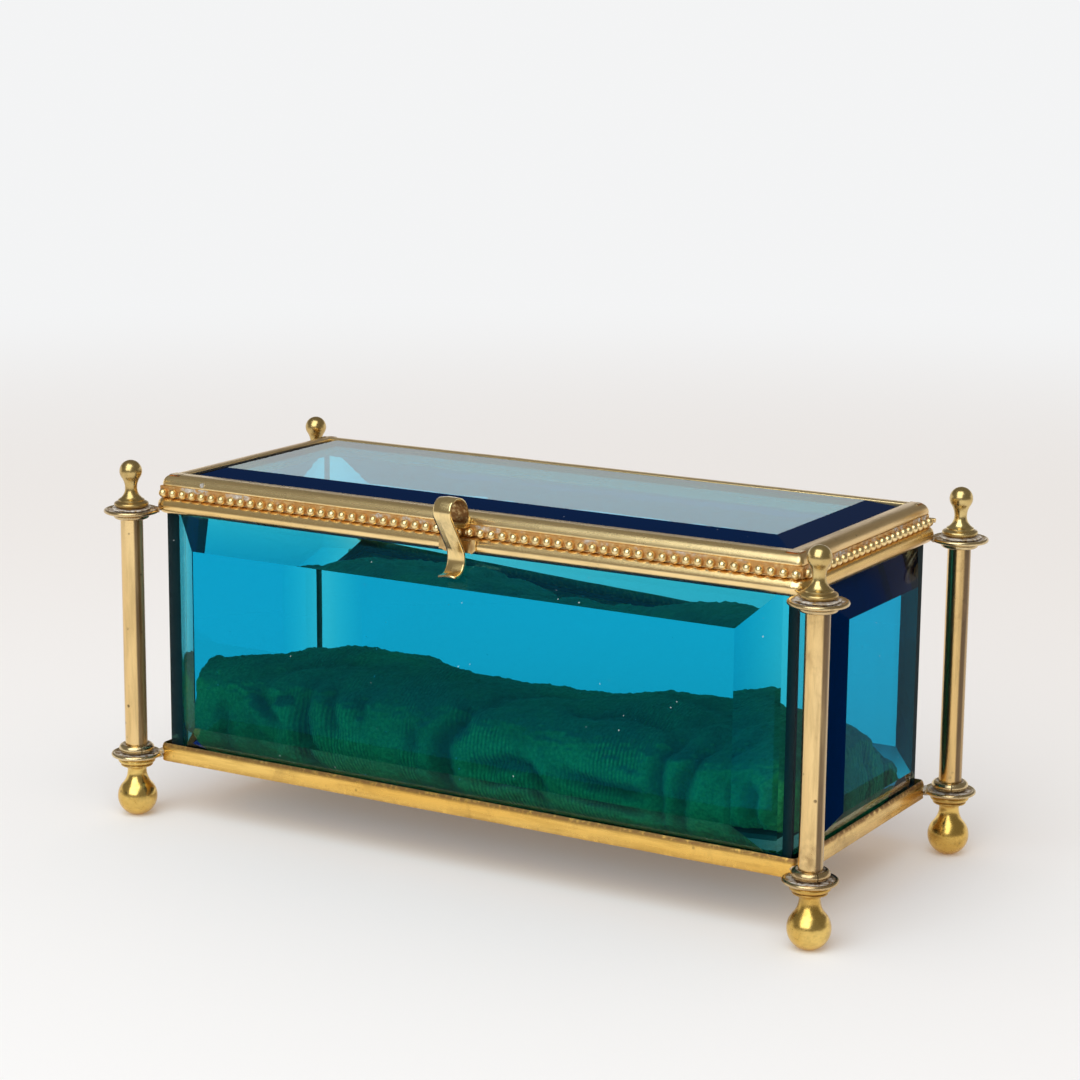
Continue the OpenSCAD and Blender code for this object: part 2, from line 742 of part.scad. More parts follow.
// A flange, a hollow neck and a ball, turned in one piece
module finial() {
    upper_x = finial_neck_r + finial_upper_cove;
    reach = finial_ball_r + finial_upper_cove;
    ball_up = sqrt(pow(reach, 2) - pow(upper_x, 2));
    touch = finial_ball_r / reach;
    ball_z = finial_neck_z + ball_up;
    touch_z = ball_z - ball_up * touch;
    lower_x = finial_neck_r + finial_lower_cove;
    color(brass) turned_part(finial_z - 1, rod_top + 0.1) {
        translate([0, finial_z]) square([finial_foot_r, finial_foot_h]);
        translate([0, finial_flange_z]) round_edge(finial_flange_r, finial_flange_t);
        difference() {
            translate([0, finial_cove_z]) square([finial_flange_r - 0.4, finial_neck_h]);
            translate([lower_x, finial_neck_z]) circle(finial_lower_cove, $fn = fine_facets);
        }
        difference() {
            translate([0, finial_neck_z]) square([upper_x * touch, touch_z - finial_neck_z]);
            translate([upper_x, finial_neck_z]) circle(finial_upper_cove, $fn = fine_facets);
        }
        intersection() {
            translate([0, ball_z]) circle(finial_ball_r, $fn = fine_facets);
            translate([0, touch_z]) square([2 * finial_ball_r, 2 * finial_ball_r]);
        }
    }
}

module cushion_board() {
    inset = pane_edge + board_inset;
    color([0.16, 0.22, 0.19]) translate([-half_x + inset, -half_y + inset, floor_top])
        cube([body_length - 2 * inset, body_depth - 2 * inset, board_t]);
}

// The cushion's grid: columns along X and rows along Y, closer together near the edges
cushion_columns = 52;
cushion_rows = 12;
cushion_z = board_top + cushion_lift;
cushion_half_x = half_x - pane_edge - cushion_gap;
cushion_half_y = half_y - pane_edge - cushion_gap;

// Soft lumps and hollows of the crown: X and Y as shares of the half sizes, spread along X and Y in the same
// shares, and height as a share of the crown's
lumps = [
    [-0.94, -0.2, 0.16, 0.9, 0.05],
    [-0.68, -0.75, 0.17, 0.5, -0.36],
    [-0.5, 0.1, 0.3, 0.55, 0.12],
    [-0.1, 0.55, 0.32, 0.5, -0.16],
    [0.5, -0.55, 0.5, 0.5, 0.16],
    [0.72, 0.15, 0.3, 0.5, 0.14],
    [0.3, 0.95, 0.5, 0.35, -0.12],
    [0, 0.7, 3, 0.4, -0.9]
];
function lump(p, m) = m[4] * exp(-pow((p[0] - m[0]) / m[2], 2) - pow((p[1] - m[1]) / m[3], 2));
function sum(v, i = 0) = i == len(v) ? 0 : v[i] + sum(v, i + 1);

// Grid places from -1 to 1, closer together near both ends
function spaced(i, n) = sin(180 * i / n - 90);

// How far the front and back draw in between the corners, with the pleats
function draw_in(u) = cushion_draw_in * (1 - pow(u, 4)) + pleat_depth * (1 - cos(360 * pleat_count * (u + 1) / 2)) / 2;

// Corners of the plan are rounded by pulling the ends of the grid's rows inwards
function plan_x(u, v) = u * (cushion_half_x - 3.5 * pow(abs(v), 8) - cushion_draw_in * (1 - pow(v, 2)) * pow(abs(u), 6));
function plan_y(u, v) = v * (cushion_half_y - 3 * pow(abs(u), 20) - draw_in(u) * pow(abs(v), 3));

function crown(u, v) = let (edge = sqrt(max(0, 1 - pow(abs(v), 5))) * sqrt(max(0, 1 - pow(abs(u), 16))))
    cushion_edge_h + (cushion_h - cushion_edge_h) * (edge + sum([for (m = lumps) lump([u, v], m)]) * edge);

// Rings of the side wall below the grid's edge: share of the edge's height and how far it swells
wall_rings = [[0.5, 0.3], [0, -1.2]];

function border(n, m) = concat(
    [for (i = [0 : n - 1]) [i, 0]],
    [for (j = [0 : m - 1]) [n, j]],
    [for (i = [n : -1 : 1]) [i, m]],
    [for (j = [m : -1 : 1]) [0, j]]
);

// Crowned form with drawn-in, pleated sides and a flat underside
module cushion() {
    n = cushion_columns;
    m = cushion_rows;
    top = [for (j = [0 : m]) for (i = [0 : n]) let (u = i / n * 2 - 1, v = spaced(j, m))
        [plan_x(u, v), plan_y(u, v), cushion_z + crown(u, v)]];
    edge = border(n, m);
    walls = [for (ring = wall_rings) for (e = edge) let (p = top[e[1] * (n + 1) + e[0]])
        let (grow = [1 + ring[1] / cushion_half_x, 1 + ring[1] / cushion_half_y])
        [p[0] * grow[0], p[1] * grow[1], cushion_z + (p[2] - cushion_z) * ring[0]]];
    count = len(edge);
    first = len(top);
    quads = [for (j = [0 : m - 1]) for (i = [0 : n - 1]) let (a = j * (n + 1) + i)
        [a, a + n + 1, a + n + 2, a + 1]];
    upper = [for (k = [0 : count - 1]) let (q = (k + 1) % count)
        [edge[k][1] * (n + 1) + edge[k][0], edge[q][1] * (n + 1) + edge[q][0], first + q, first + k]];
    lower = [for (k = [0 : count - 1]) let (q = (k + 1) % count)
        [first + k, first + q, first + count + q, first + count + k]];
    base = [[for (k = [0 : count - 1]) first + count + k]];
    faces = concat(
        [for (f = concat(quads, upper, lower)) [f[0], f[1], f[2]]],
        [for (f = concat(quads, upper, lower)) [f[0], f[2], f[3]]],
        base
    );
    color(plush) polyhedron(points = concat(top, walls), faces = faces, convexity = 4);
}

for (c = CORNERS) at_corner(c) ball_foot();
for (c = CORNERS) at_corner(c) lower_disc();
for (c = CORNERS) at_corner(c) column_tube();
for (c = CORNERS) at_corner(c) upper_disc();
for (c = CORNERS) at_corner(c) finial();
for (c = CORNERS) at_corner(c) lower_collar();  // lower_collars
for (c = CORNERS) at_corner(c) upper_collar();  // upper_collars
for (c = CORNERS) at_corner(c) tie_rod();  // tie_rods
for (c = CORNERS) at_corner(c) finial_washer();  // finial_washers
for (s = [0 : 3]) base_rail(s);
for (s = [0 : 3]) rim_rail(s);
for (s = [0 : 3]) lid_rail(s);
for (s = [0, 2]) pane(s, long_rise, long_bevel, long_bevel, long_margin);
for (s = [1, 3]) pane(s, side_rise, side_bevel_y, side_bevel_z, side_margin);
for (s = [0, 1, 3]) bead_strip(s);
floor_glass();
lid_glass();
hinge_knuckles_body();
hinge_knuckles_lid();
hinge_pin();
clasp();
clasp_seat();
catch_plate();
lid_rivet();
cushion_board();
cushion();
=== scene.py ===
"""Glass casket box: blue bevelled glass in brass mouldings, with a ribbed plush cushion."""
import math

import bmesh
import bpy
import numpy as np
from mathutils import Matrix, Vector, noise


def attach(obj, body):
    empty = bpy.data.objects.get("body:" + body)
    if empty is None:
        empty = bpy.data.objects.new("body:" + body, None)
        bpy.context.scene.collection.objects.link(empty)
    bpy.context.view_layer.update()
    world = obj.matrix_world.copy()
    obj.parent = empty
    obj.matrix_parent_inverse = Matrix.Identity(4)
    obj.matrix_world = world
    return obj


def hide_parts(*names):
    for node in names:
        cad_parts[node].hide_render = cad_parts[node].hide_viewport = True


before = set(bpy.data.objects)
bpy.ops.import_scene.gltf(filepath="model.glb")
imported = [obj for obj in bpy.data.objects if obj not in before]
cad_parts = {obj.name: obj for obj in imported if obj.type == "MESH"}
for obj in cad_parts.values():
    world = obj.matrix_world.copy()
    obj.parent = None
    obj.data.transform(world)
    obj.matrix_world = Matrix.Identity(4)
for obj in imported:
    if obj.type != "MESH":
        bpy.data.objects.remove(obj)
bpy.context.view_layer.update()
scene = bpy.context.scene
MM = 0.001

# Sizes that part.scad fixes, in mm
HALF_X, HALF_Y = 86.9, 34.7
COLUMN_X, COLUMN_Y = 94.0, 39.9

# Vertices closer than this, in metres, are one
MERGE = 1e-7

# The level direction away from the camera, and the colour of the backdrop
AWAY = (-0.507, 0.862, 0.0)
BACKDROP = (0.90, 0.905, 0.91)


# ---------------------------------------------------------------- shader helpers
class Shader:
    """A small builder for the nodes of a material or a world."""

    def __init__(self, name, home=None, output="OutputMaterial"):
        self.owner = (bpy.data.materials if home is None else home).new(name)
        self.owner.use_nodes = True
        self.tree = self.owner.node_tree
        self.tree.nodes.clear()
        self.out = self.node(output)
        self.coords = self.node("TexCoord").outputs

    def node(self, kind, inputs=(), **properties):
        """A node with its properties and its inputs, which are given by place or by name."""
        n = self.tree.nodes.new("ShaderNode" + kind)
        for key, value in properties.items():
            setattr(n, key, value)
        for key, value in inputs.items() if isinstance(inputs, dict) else enumerate(inputs):
            self.set(n.inputs[key], value)
        return n

    def set(self, socket, value):
        if isinstance(value, bpy.types.NodeSocket):
            self.tree.links.new(value, socket)
        else:
            socket.default_value = value

    def scaled(self, scale):
        return self.node("Mapping", {"Vector": self.coords["Object"], "Scale": scale}).outputs["Vector"]

    def noise(self, scale, detail=3.0, rough=0.5, vector=None, distortion=0.0):
        inputs = {"Vector": vector or self.coords["Object"], "Scale": scale, "Detail": detail,
                  "Roughness": rough, "Distortion": distortion}
        return self.node("TexNoise", inputs).outputs["Fac"]

    def voronoi(self, scale):
        return self.node("TexVoronoi", {"Vector": self.coords["Object"], "Scale": scale}).outputs["Distance"]

    def ramp(self, value, low, high, a=0.0, b=1.0):
        inputs = {"Value": value, "From Min": low, "From Max": high, "To Min": a, "To Max": b}
        return self.node("MapRange", inputs, interpolation_type="SMOOTHSTEP").outputs["Result"]

    def math(self, op, a, b=0.0):
        return self.node("Math", (a, b), operation=op).outputs[0]

    def times(self, first, *others):
        for other in others:
            first = self.math("MULTIPLY", first, other)
        return first

    def plus(self, first, *others):
        for other in others:
            first = self.math("ADD", first, other)
        return first

    def without(self, value):
        return self.math("SUBTRACT", 1.0, value)

    def dot(self, vector, direction):
        return self.node("VectorMath", (vector, direction), operation="DOT_PRODUCT").outputs["Value"]

    def axis(self, name, vector=None):
        return self.node("SeparateXYZ", (vector or self.coords["Object"],)).outputs[name]

    def blend(self, fac, a, b):
        """A mix of two numbers."""
        return self.node("Mix", {0: fac, 2: a, 3: b}, data_type="FLOAT").outputs[0]

    def mix(self, fac, a, b):
        """A mix of two colours."""
        a, b = (c if isinstance(c, bpy.types.NodeSocket) else (*c, 1) for c in (a, b))
        return self.node("Mix", {"Factor": fac, "A": a, "B": b}, data_type="RGBA").outputs["Result"]

    def mix_shader(self, fac, a, b):
        return self.node("MixShader", (fac, a, b)).outputs[0]

    def bump(self, height, distance, strength=1.0, normal=None):
        inputs = {"Strength": strength, "Distance": distance, "Height": height}
        if normal:
            inputs["Normal"] = normal
        return self.node("Bump", inputs).outputs["Normal"]

    def outside(self):
        """Distance outside the glass edge, in metres."""
        x = self.math("SUBTRACT", self.math("ABSOLUTE", self.axis("X")), HALF_X * MM)
        y = self.math("SUBTRACT", self.math("ABSOLUTE", self.axis("Y")), HALF_Y * MM)
        return self.math("MAXIMUM", x, y)

    def attribute(self, name):
        return self.node("Attribute", attribute_type="GEOMETRY", attribute_name=name).outputs["Fac"]

    def principled(self, **values):
        inputs = {key.replace("_", " "): (*value, 1) if isinstance(value, tuple) and len(value) == 3 else value
                  for key, value in values.items()}
        return self.node("BsdfPrincipled", inputs).outputs[0]

    def surface(self, socket):
        self.set(self.out.inputs["Surface"], socket)
        return self.owner


def brass(name, pale, deep, rough, along, brown, spots, recess=None, crust=None, flank=False,
          grime_and_shade_colour=(0.30, 0.15, 0.055)):
    """Old brass: two tones in soft clouds, fine streaks along the piece, brown tarnish, dark spots, grime
    where recess is 1, which on the beads is painted shade as well, a pale grey crust where crust is 1 and, if
    flank is set, painted shade down the right flank."""
    s = Shader(name)
    drawn = s.scaled(tuple(0.1 if axis in along else 1.0 for axis in "xyz"))
    clouds = s.ramp(s.noise(60, 3, 0.55, drawn), 0.35, 0.68)
    streaks = s.ramp(s.noise(650, 3, 0.6, drawn), 0.42, 0.7)
    patches = s.times(s.ramp(s.noise(33, 5, 0.68, distortion=0.7), 0.55, 0.7),
                      s.ramp(s.noise(260, 4, 0.6), 0.3, 0.6), brown)
    colour = s.mix(clouds, pale, deep)
    colour = s.mix(s.times(streaks, 0.35), colour, tuple(c * 0.55 for c in deep))
    metal = 1.0
    # Painted shade: the side facing right is darkened and made less metallic, as if in shade
    if flank:
        edge = s.plus(s.dot(s.coords["Normal"], (0.97, 0.2, 0.0)), s.times(s.noise(90, 3, 0.6, drawn), 0.3))
        shade = s.times(s.ramp(edge, 0.68, 0.84), s.ramp(edge, 1.04, 1.14, 1.0, 0.5),
                        s.ramp(s.noise(260, 4, 0.6, drawn), 0.2, 0.55, 0.7, 1.0))
        metal = s.without(s.times(shade, 0.85))
        colour = s.mix(shade, colour, (0.12, 0.07, 0.025))
    colour = s.mix(patches, colour, (0.26, 0.15, 0.06))
    specks = s.times(s.ramp(s.voronoi(380), 0.1, 0.2, 1.0, 0.0),
                     s.ramp(s.noise(130, 2, 0.5), 0.54, 0.64), spots)
    colour = s.mix(specks, colour, (0.12, 0.075, 0.035))
    roughness = s.plus(rough, s.times(clouds, 0.05), s.times(patches, 0.16), s.times(streaks, 0.06))
    height = s.noise(900, 4, 0.7)
    # Where recess is 1 the colour darkens: grime on most pieces, painted shade as well under the beads
    if recess:
        grime = s.times(recess(s), s.ramp(s.noise(700, 4, 0.7), 0.25, 0.55))
        colour = s.mix(grime, colour, grime_and_shade_colour)
        roughness = s.plus(roughness, s.times(grime, 0.3))
    if crust:
        grain = s.noise(850, 4, 0.7)
        shell = s.times(crust(s), s.ramp(grain, 0.38, 0.52))
        colour = s.mix(shell, colour, s.mix(s.ramp(grain, 0.4, 0.7), (0.33, 0.29, 0.24), (0.68, 0.64, 0.58)))
        roughness = s.plus(roughness, s.times(shell, 0.5))
        metal = s.without(s.times(shell, 0.9))
        height = s.plus(height, s.times(shell, 4.0))
    height = s.plus(height, s.times(s.noise(900, 2, 0.5, drawn), 1.2))
    normal = s.bump(s.noise(110, 3, 0.5), 0.0002, 0.2)
    normal = s.bump(height, 0.00003, 0.4, normal)
    return s.surface(s.principled(Base_Color=colour, Roughness=roughness, Metallic=metal, Normal=normal))


def glass(name, body_colour=(1, 1, 1), tint=(0.12, 0.8, 1.0), dark=None):
    """Thick blue glass: clear surface, colour from absorption by depth, specks of dust. The function dark
    gives the share of an opaque dark navy in it, which is painted shade."""
    s = Shader(name)
    normal = s.bump(s.noise(38, 2, 0.5), 0.0006, 0.05)
    clear = s.principled(Base_Color=body_colour, Roughness=0.0, IOR=1.51, Normal=normal,
                         Transmission_Weight=1.0, Specular_Tint=tint)
    dust = s.times(s.ramp(s.voronoi(330), 0.035, 0.075, 1.0, 0.0),
                   s.ramp(s.noise(60, 2, 0.5), 0.56, 0.64), 0.55)
    body = s.mix_shader(dust, clear, s.principled(Base_Color=(0.75, 0.8, 0.82), Roughness=0.8))
    if dark:
        # Painted shade: an opaque dark navy mixed into the glass
        navy = s.principled(Base_Color=(0.0, 0.012, 0.06), Roughness=0.8, Specular_IOR_Level=0.0)
        body = s.mix_shader(dark(s), body, navy)
    path = s.node("LightPath").outputs
    veil = s.node("BsdfTransparent", ((0.88, 0.9, 0.9, 1),)).outputs[0]
    body = s.mix_shader(s.math("MAXIMUM", path["Is Shadow Ray"], path["Is Diffuse Ray"]), body, veil)
    absorb = s.node("VolumeAbsorption", {"Color": (0.0, 0.842, 0.934, 1), "Density": 270})
    s.set(s.out.inputs["Volume"], absorb.outputs[0])
    return s.surface(body)


def solder(name):
    s = Shader(name)
    colour = s.mix(s.ramp(s.noise(600, 4, 0.65), 0.35, 0.7), (0.36, 0.33, 0.29), (0.62, 0.60, 0.56))
    normal = s.bump(s.noise(900, 4, 0.6), 0.0002, 0.6)
    return s.surface(s.principled(Base_Color=colour, Metallic=0.6, Roughness=0.55, Normal=normal))


def card(name):
    s = Shader(name)
    colour = s.mix(s.noise(300, 4, 0.6), (0.05, 0.06, 0.045), (0.10, 0.10, 0.07))
    normal = s.bump(s.noise(1200, 3, 0.6), 0.0002, 0.5)
    return s.surface(s.principled(Base_Color=colour, Roughness=0.85, Normal=normal))


def ground_edge(name):
    """The ground edges of the glass, near black, which let nothing through."""
    s = Shader(name)
    colour = s.mix(s.noise(400, 3, 0.6), (0.004, 0.006, 0.008), (0.02, 0.02, 0.018))
    return s.surface(s.principled(Base_Color=colour, Roughness=0.8))


def plush(name, rib_period=0.001):
    """Olive green ribbed pile: fine ribs in patches, painted lighter on their crests with painted shade between
    them, bruised lights and darks, painted shade in the folds with a painted highlight on their ridges, specks of
    dust. The pile is painted darker where it faces up."""
    s = Shader(name)
    tone = s.ramp(s.noise(30, 4, 0.6), 0.32, 0.68)
    colour = s.mix(tone, (0.10, 0.18, 0.05), (0.24, 0.40, 0.10))
    phase = s.plus(s.times(s.attribute("rib"), 2 * math.pi / rib_period), s.times(s.noise(60, 2, 0.5), 5.0))
    ribs = s.ramp(s.math("SINE", phase), -1.0, 1.0)
    patch = s.times(s.ramp(s.noise(42, 3, 0.55), 0.47, 0.6),
                    s.ramp(s.noise(500, 3, 0.6), 0.3, 0.62, 0.35, 1.0))
    # Painted shade between the ribs, and a painted highlight on them
    between = s.times(s.without(ribs), patch)
    ribs = s.times(ribs, patch)
    # Painted shade: the pile is darker where it faces up, unevenly
    uneven_top_shade = s.ramp(s.noise(90, 4, 0.65), 0.25, 0.7, 0.6, 0.95)
    top = s.times(s.ramp(s.axis("Z", s.coords["Normal"]), 0.3, 0.75), uneven_top_shade)
    fur = s.ramp(s.noise(1200, 4, 0.7), 0.35, 0.65)
    dust = s.times(s.ramp(s.voronoi(420), 0.03, 0.07, 1.0, 0.0), s.ramp(s.noise(90, 2, 0.5), 0.56, 0.64))
    # Painted light in the layers: highlights on ribs and ridges, shade between ribs, on top and in the folds
    layers = [(ribs, 0.6, (0.34, 0.56, 0.13)), (between, 0.45, (0.05, 0.09, 0.035)),
              (s.attribute("ridge"), 0.35, (0.28, 0.46, 0.12)), (top, 1.0, (0.085, 0.145, 0.075)),
              (s.attribute("fold"), 0.75, (0.025, 0.045, 0.028)), (fur, 0.4, (0.03, 0.055, 0.025)),
              (dust, 0.7, (0.55, 0.6, 0.5))]
    for where, share, paint in layers:
        colour = s.mix(s.times(where, share), colour, paint)
    normal = s.bump(s.noise(1700, 4, 0.7), 0.0005, 0.6)
    normal = s.bump(s.noise(420, 3, 0.6), 0.0009, 0.5, normal)
    normal = s.bump(ribs, 0.00016, 0.7, normal)
    return s.surface(s.principled(Base_Color=colour, Roughness=0.92, Normal=normal, Specular_IOR_Level=0.15,
                                  Sheen_Weight=0.25, Sheen_Roughness=0.4, Sheen_Tint=(0.5, 0.75, 0.45)))


def bead_web_and_underside_shade(s):
    """The web behind the beads, made darker and browner, and painted shade on the beads' undersides."""
    behind = s.ramp(s.outside(), 0.0011, 0.0021, 1.0, 0.0)
    return s.math("MAXIMUM", behind, s.ramp(s.axis("Z"), 0.0822, 0.0831, 0.8, 0.0))


def bead_crust(s):
    """The upper part of the web, in patches."""
    return s.times(s.ramp(s.outside(), 0.0013, 0.0018, 1.0, 0.0), s.ramp(s.axis("Z"), 0.0835, 0.0843),
                   s.ramp(s.noise(120, 3, 0.6), 0.48, 0.6))


def grime_mark(s):
    return s.attribute("grime")


def crust_mark(s):
    return s.attribute("crust")


def front_half_painted_shade(s):
    """Painted shade: dark towards the front of a side pane, fading out behind its middle."""
    return s.ramp(s.axis("Y"), -0.006, 0.014, 0.75, 0.1)


# Beads: painted shade on their undersides, in an orange brown
BEADS = brass("bead_brass", (1.0, 0.78, 0.40), (0.94, 0.68, 0.30), 0.26, "", 0.2, 0.3, bead_web_and_underside_shade, bead_crust,
              grime_and_shade_colour=(0.66, 0.37, 0.13))
SPRING = brass("spring_brass", (1.0, 0.79, 0.41), (0.92, 0.67, 0.29), 0.15, "z", 0.2, 0.3, grime_mark)
AGED = brass("aged_brass", (0.90, 0.68, 0.31), (0.80, 0.53, 0.19), 0.2, "", 0.4, 0.5)
# Painted light and shade: each rail along X is a paler copy of its brass along Y, as the light falls on them
RIM_X = brass("rim_brass_x", (1.0, 0.74, 0.36), (0.90, 0.60, 0.22), 0.22, "x", 0.3, 0.5)
RIM_Y = brass("rim_brass_y", (0.90, 0.66, 0.30), (0.76, 0.49, 0.16), 0.22, "y", 0.5, 0.5)
LID_X = brass("lid_brass_x", (1.0, 0.77, 0.40), (0.90, 0.65, 0.29), 0.25, "x", 0.25, 0.4)
LID_Y = brass("lid_brass_y", (0.94, 0.69, 0.34), (0.80, 0.54, 0.23), 0.25, "y", 0.5, 0.4)
# The tubes carry painted shade down their right flank
TUBE = brass("tube_brass", (1.0, 0.74, 0.37), (0.80, 0.54, 0.22), 0.17, "z", 0.9, 0.8, flank=True)
FOOT = brass("foot_brass", (0.88, 0.62, 0.19), (0.74, 0.46, 0.11), 0.2, "", 0.6, 0.5, grime_mark)
FINIAL = brass("finial_brass", (0.76, 0.58, 0.25), (0.60, 0.42, 0.16), 0.21, "", 0.6, 0.5, grime_mark)
BASE_X = brass("base_brass_x", (1.0, 0.68, 0.20), (0.94, 0.54, 0.11), 0.2, "x", 0.3, 0.4, grime_mark)
BASE_Y = brass("base_brass_y", (0.84, 0.57, 0.20), (0.66, 0.42, 0.13), 0.22, "y", 0.7, 0.5, grime_mark)
CATCH = brass("catch_brass", (0.84, 0.60, 0.27), (0.70, 0.44, 0.17), 0.25, "", 0.8, 0.6, grime_mark)
TURNED = brass("turned_brass", (0.76, 0.60, 0.33), (0.60, 0.42, 0.21), 0.2, "", 0.5, 0.5, grime_mark, crust_mark)
SOLDER = solder("solder")
PLUSH = plush("plush")
CARD = card("card")
GLASS = glass("blue_glass")
EDGE = ground_edge("ground_edge")
# The lid's bevels and two bevels of each side pane, which look almost black in the photograph
# Painted shade: these bevels get a dark body colour, little reflection and a share of opaque navy
PAINTED_DARK_BEVEL = glass("blue_glass_painted_dark_bevel", (0.02, 0.03, 0.06), (0.0, 0.25, 0.5), lambda s: 0.7)
PAINTED_DARK_SIDE_BEVEL = glass("blue_glass_side_painted_dark_bevel", (0.25, 0.3, 0.4), (0.0, 0.3, 0.6), front_half_painted_shade)


def finish_of(name):
    """The material of a CAD node."""
    if name.startswith(("pane_", "floor_glass", "lid_glass")):
        return GLASS
    if name.startswith("bead_strip"):
        return BEADS
    if name.startswith("lid_rail"):
        return LID_X if name.endswith(("front", "back")) else LID_Y
    if name.startswith("rim_rail"):
        return RIM_X if name.endswith(("front", "back")) else RIM_Y
    if name.startswith("column_tube"):
        return TUBE
    return {"clasp": SPRING, "lid_rivet": SOLDER, "cushion": PLUSH, "cushion_board": CARD}.get(name, AGED)


def dress_glass(name, mesh):
    """Gives the ground edges and the bevels painted dark of a glass their own materials, by the way each face
    looks.
    """
    standing, side = name.startswith("pane_"), name in ("pane_left", "pane_right")
    mesh.materials.append(EDGE)
    mesh.materials.append(PAINTED_DARK_SIDE_BEVEL if side else PAINTED_DARK_BEVEL)
    for face in mesh.polygons:
        x, y, z = (abs(c) for c in face.normal)
        rim = z > 0.99 if standing else z < 0.01
        mitre = standing and z < 0.01 and abs(x - y) < 0.02
        front_bevel = 0.05 < y < 0.7 and x > 0.7 and face.center.y < 0
        upper_bevel = 0.05 < z < 0.7 and face.normal.z > 0
        if name == "lid_glass" and 0.01 < z < 0.99 or side and (front_bevel or upper_bevel):
            face.material_index = 2
        else:
            face.material_index = 1 if rim or mitre else 0


for name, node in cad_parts.items():
    node.data.materials.clear()
    node.data.materials.append(finish_of(name))
    if finish_of(name) is GLASS:
        dress_glass(name, node.data)


# ---------------------------------------------------------------- mesh helpers
def points_of(mesh, what="co"):
    """The mesh's points, or their normals, as an array."""
    values = np.empty(len(mesh.vertices) * 3)
    mesh.vertices.foreach_get(what, values)
    return values.reshape(-1, 3)


def set_points(mesh, co):
    mesh.vertices.foreach_set("co", np.asarray(co, dtype=np.float32).ravel())
    mesh.update()


def set_attribute(mesh, name, values):
    layer = mesh.attributes.get(name) or mesh.attributes.new(name, "FLOAT", "POINT")
    layer.data.foreach_set("value", np.asarray(values, dtype=np.float32))


def new_object(name, verts, faces, material, sharp=40.0, marks=()):
    """An object of vertices in metres, cleaned, with its grime and crust kept as attributes."""
    mesh = bpy.data.meshes.new(name)
    mesh.from_pydata(verts, [], faces)
    if marks:
        for key, values in zip(("grime", "crust"), zip(*marks)):
            set_attribute(mesh, key, values)
    bm = bmesh.new()
    bm.from_mesh(mesh)
    bmesh.ops.remove_doubles(bm, verts=bm.verts, dist=MERGE)
    bmesh.ops.dissolve_degenerate(bm, edges=bm.edges, dist=MERGE)
    bmesh.ops.recalc_face_normals(bm, faces=bm.faces)
    bm.to_mesh(mesh)
    bm.free()
    mesh.materials.append(material)
    mesh.shade_smooth()
    mesh.set_sharp_from_angle(angle=math.radians(sharp))
    ob = bpy.data.objects.new(name, mesh)
    scene.collection.objects.link(ob)
    return ob


def skin(rows, n):
    """Faces between rings of n points each, with both ends closed."""
    faces = [(i * n + k, i * n + (k + 1) % n, (i + 1) * n + (k + 1) % n, (i + 1) * n + k)
             for i in range(rows - 1) for k in range(n)]
    return faces + [list(range(n))[::-1], [(rows - 1) * n + k for k in range(n)]]


def bake_modifiers(ob):
    """Replaces the object's mesh by what its modifiers make of it."""
    depsgraph = bpy.context.evaluated_depsgraph_get()
    mesh = bpy.data.meshes.new_from_object(ob.evaluated_get(depsgraph))
    old = ob.data
    ob.modifiers.clear()
    ob.data = mesh
    bpy.data.meshes.remove(old)


# ---------------------------------------------------------------- cushion
def along_x(points):
    """A function through (X, height) pairs, linear between them and flat outside."""
    xs, ys = zip(*points)
    return lambda x: float(np.interp(x, xs, ys))


# The cushion's underside in mm, and its simulation: how many frames, at which scale, and the most that a point
# moves in mm
UNDERSIDE = 19.4
CLOTH_FRAMES, CLOTH_SCALE, MOST = 20, 10.0, 1.5

# Heights of the cushion in mm along X: its front shoulder, its middle and its falling back at Y = 10
FRONT_TOP = along_x([(-83, 39.6), (-79, 39.4), (-74, 39), (-69, 38.4), (-60, 36.5), (-46, 39.5), (-30, 39.5),
                     (0, 40.3), (26, 39), (48, 38), (70, 38.5), (83, 37)])
MID_TOP = along_x([(-83, 34), (-78, 35.5), (-72, 36.5), (-62, 39.8), (-55, 41.4), (-46, 42.6), (-38, 43.3),
                   (-26, 42.6), (-13, 41.2), (-2, 39.8), (9, 39.4), (21, 40.2), (32, 41.6), (48, 41.9),
                   (60, 42.4), (74, 41.2), (83, 38)])
BACK_TEN = along_x([(-83, 28), (-72, 28.6), (-67, 31), (-61, 32.9), (-56, 33.8), (-50, 34.8), (-37, 35.5),
                    (-31, 34.3), (-23, 33.4), (-12, 31.9), (3, 31.7), (15, 32.1), (28, 34.7), (39, 38.8),
                    (60, 38.5), (83, 34)])

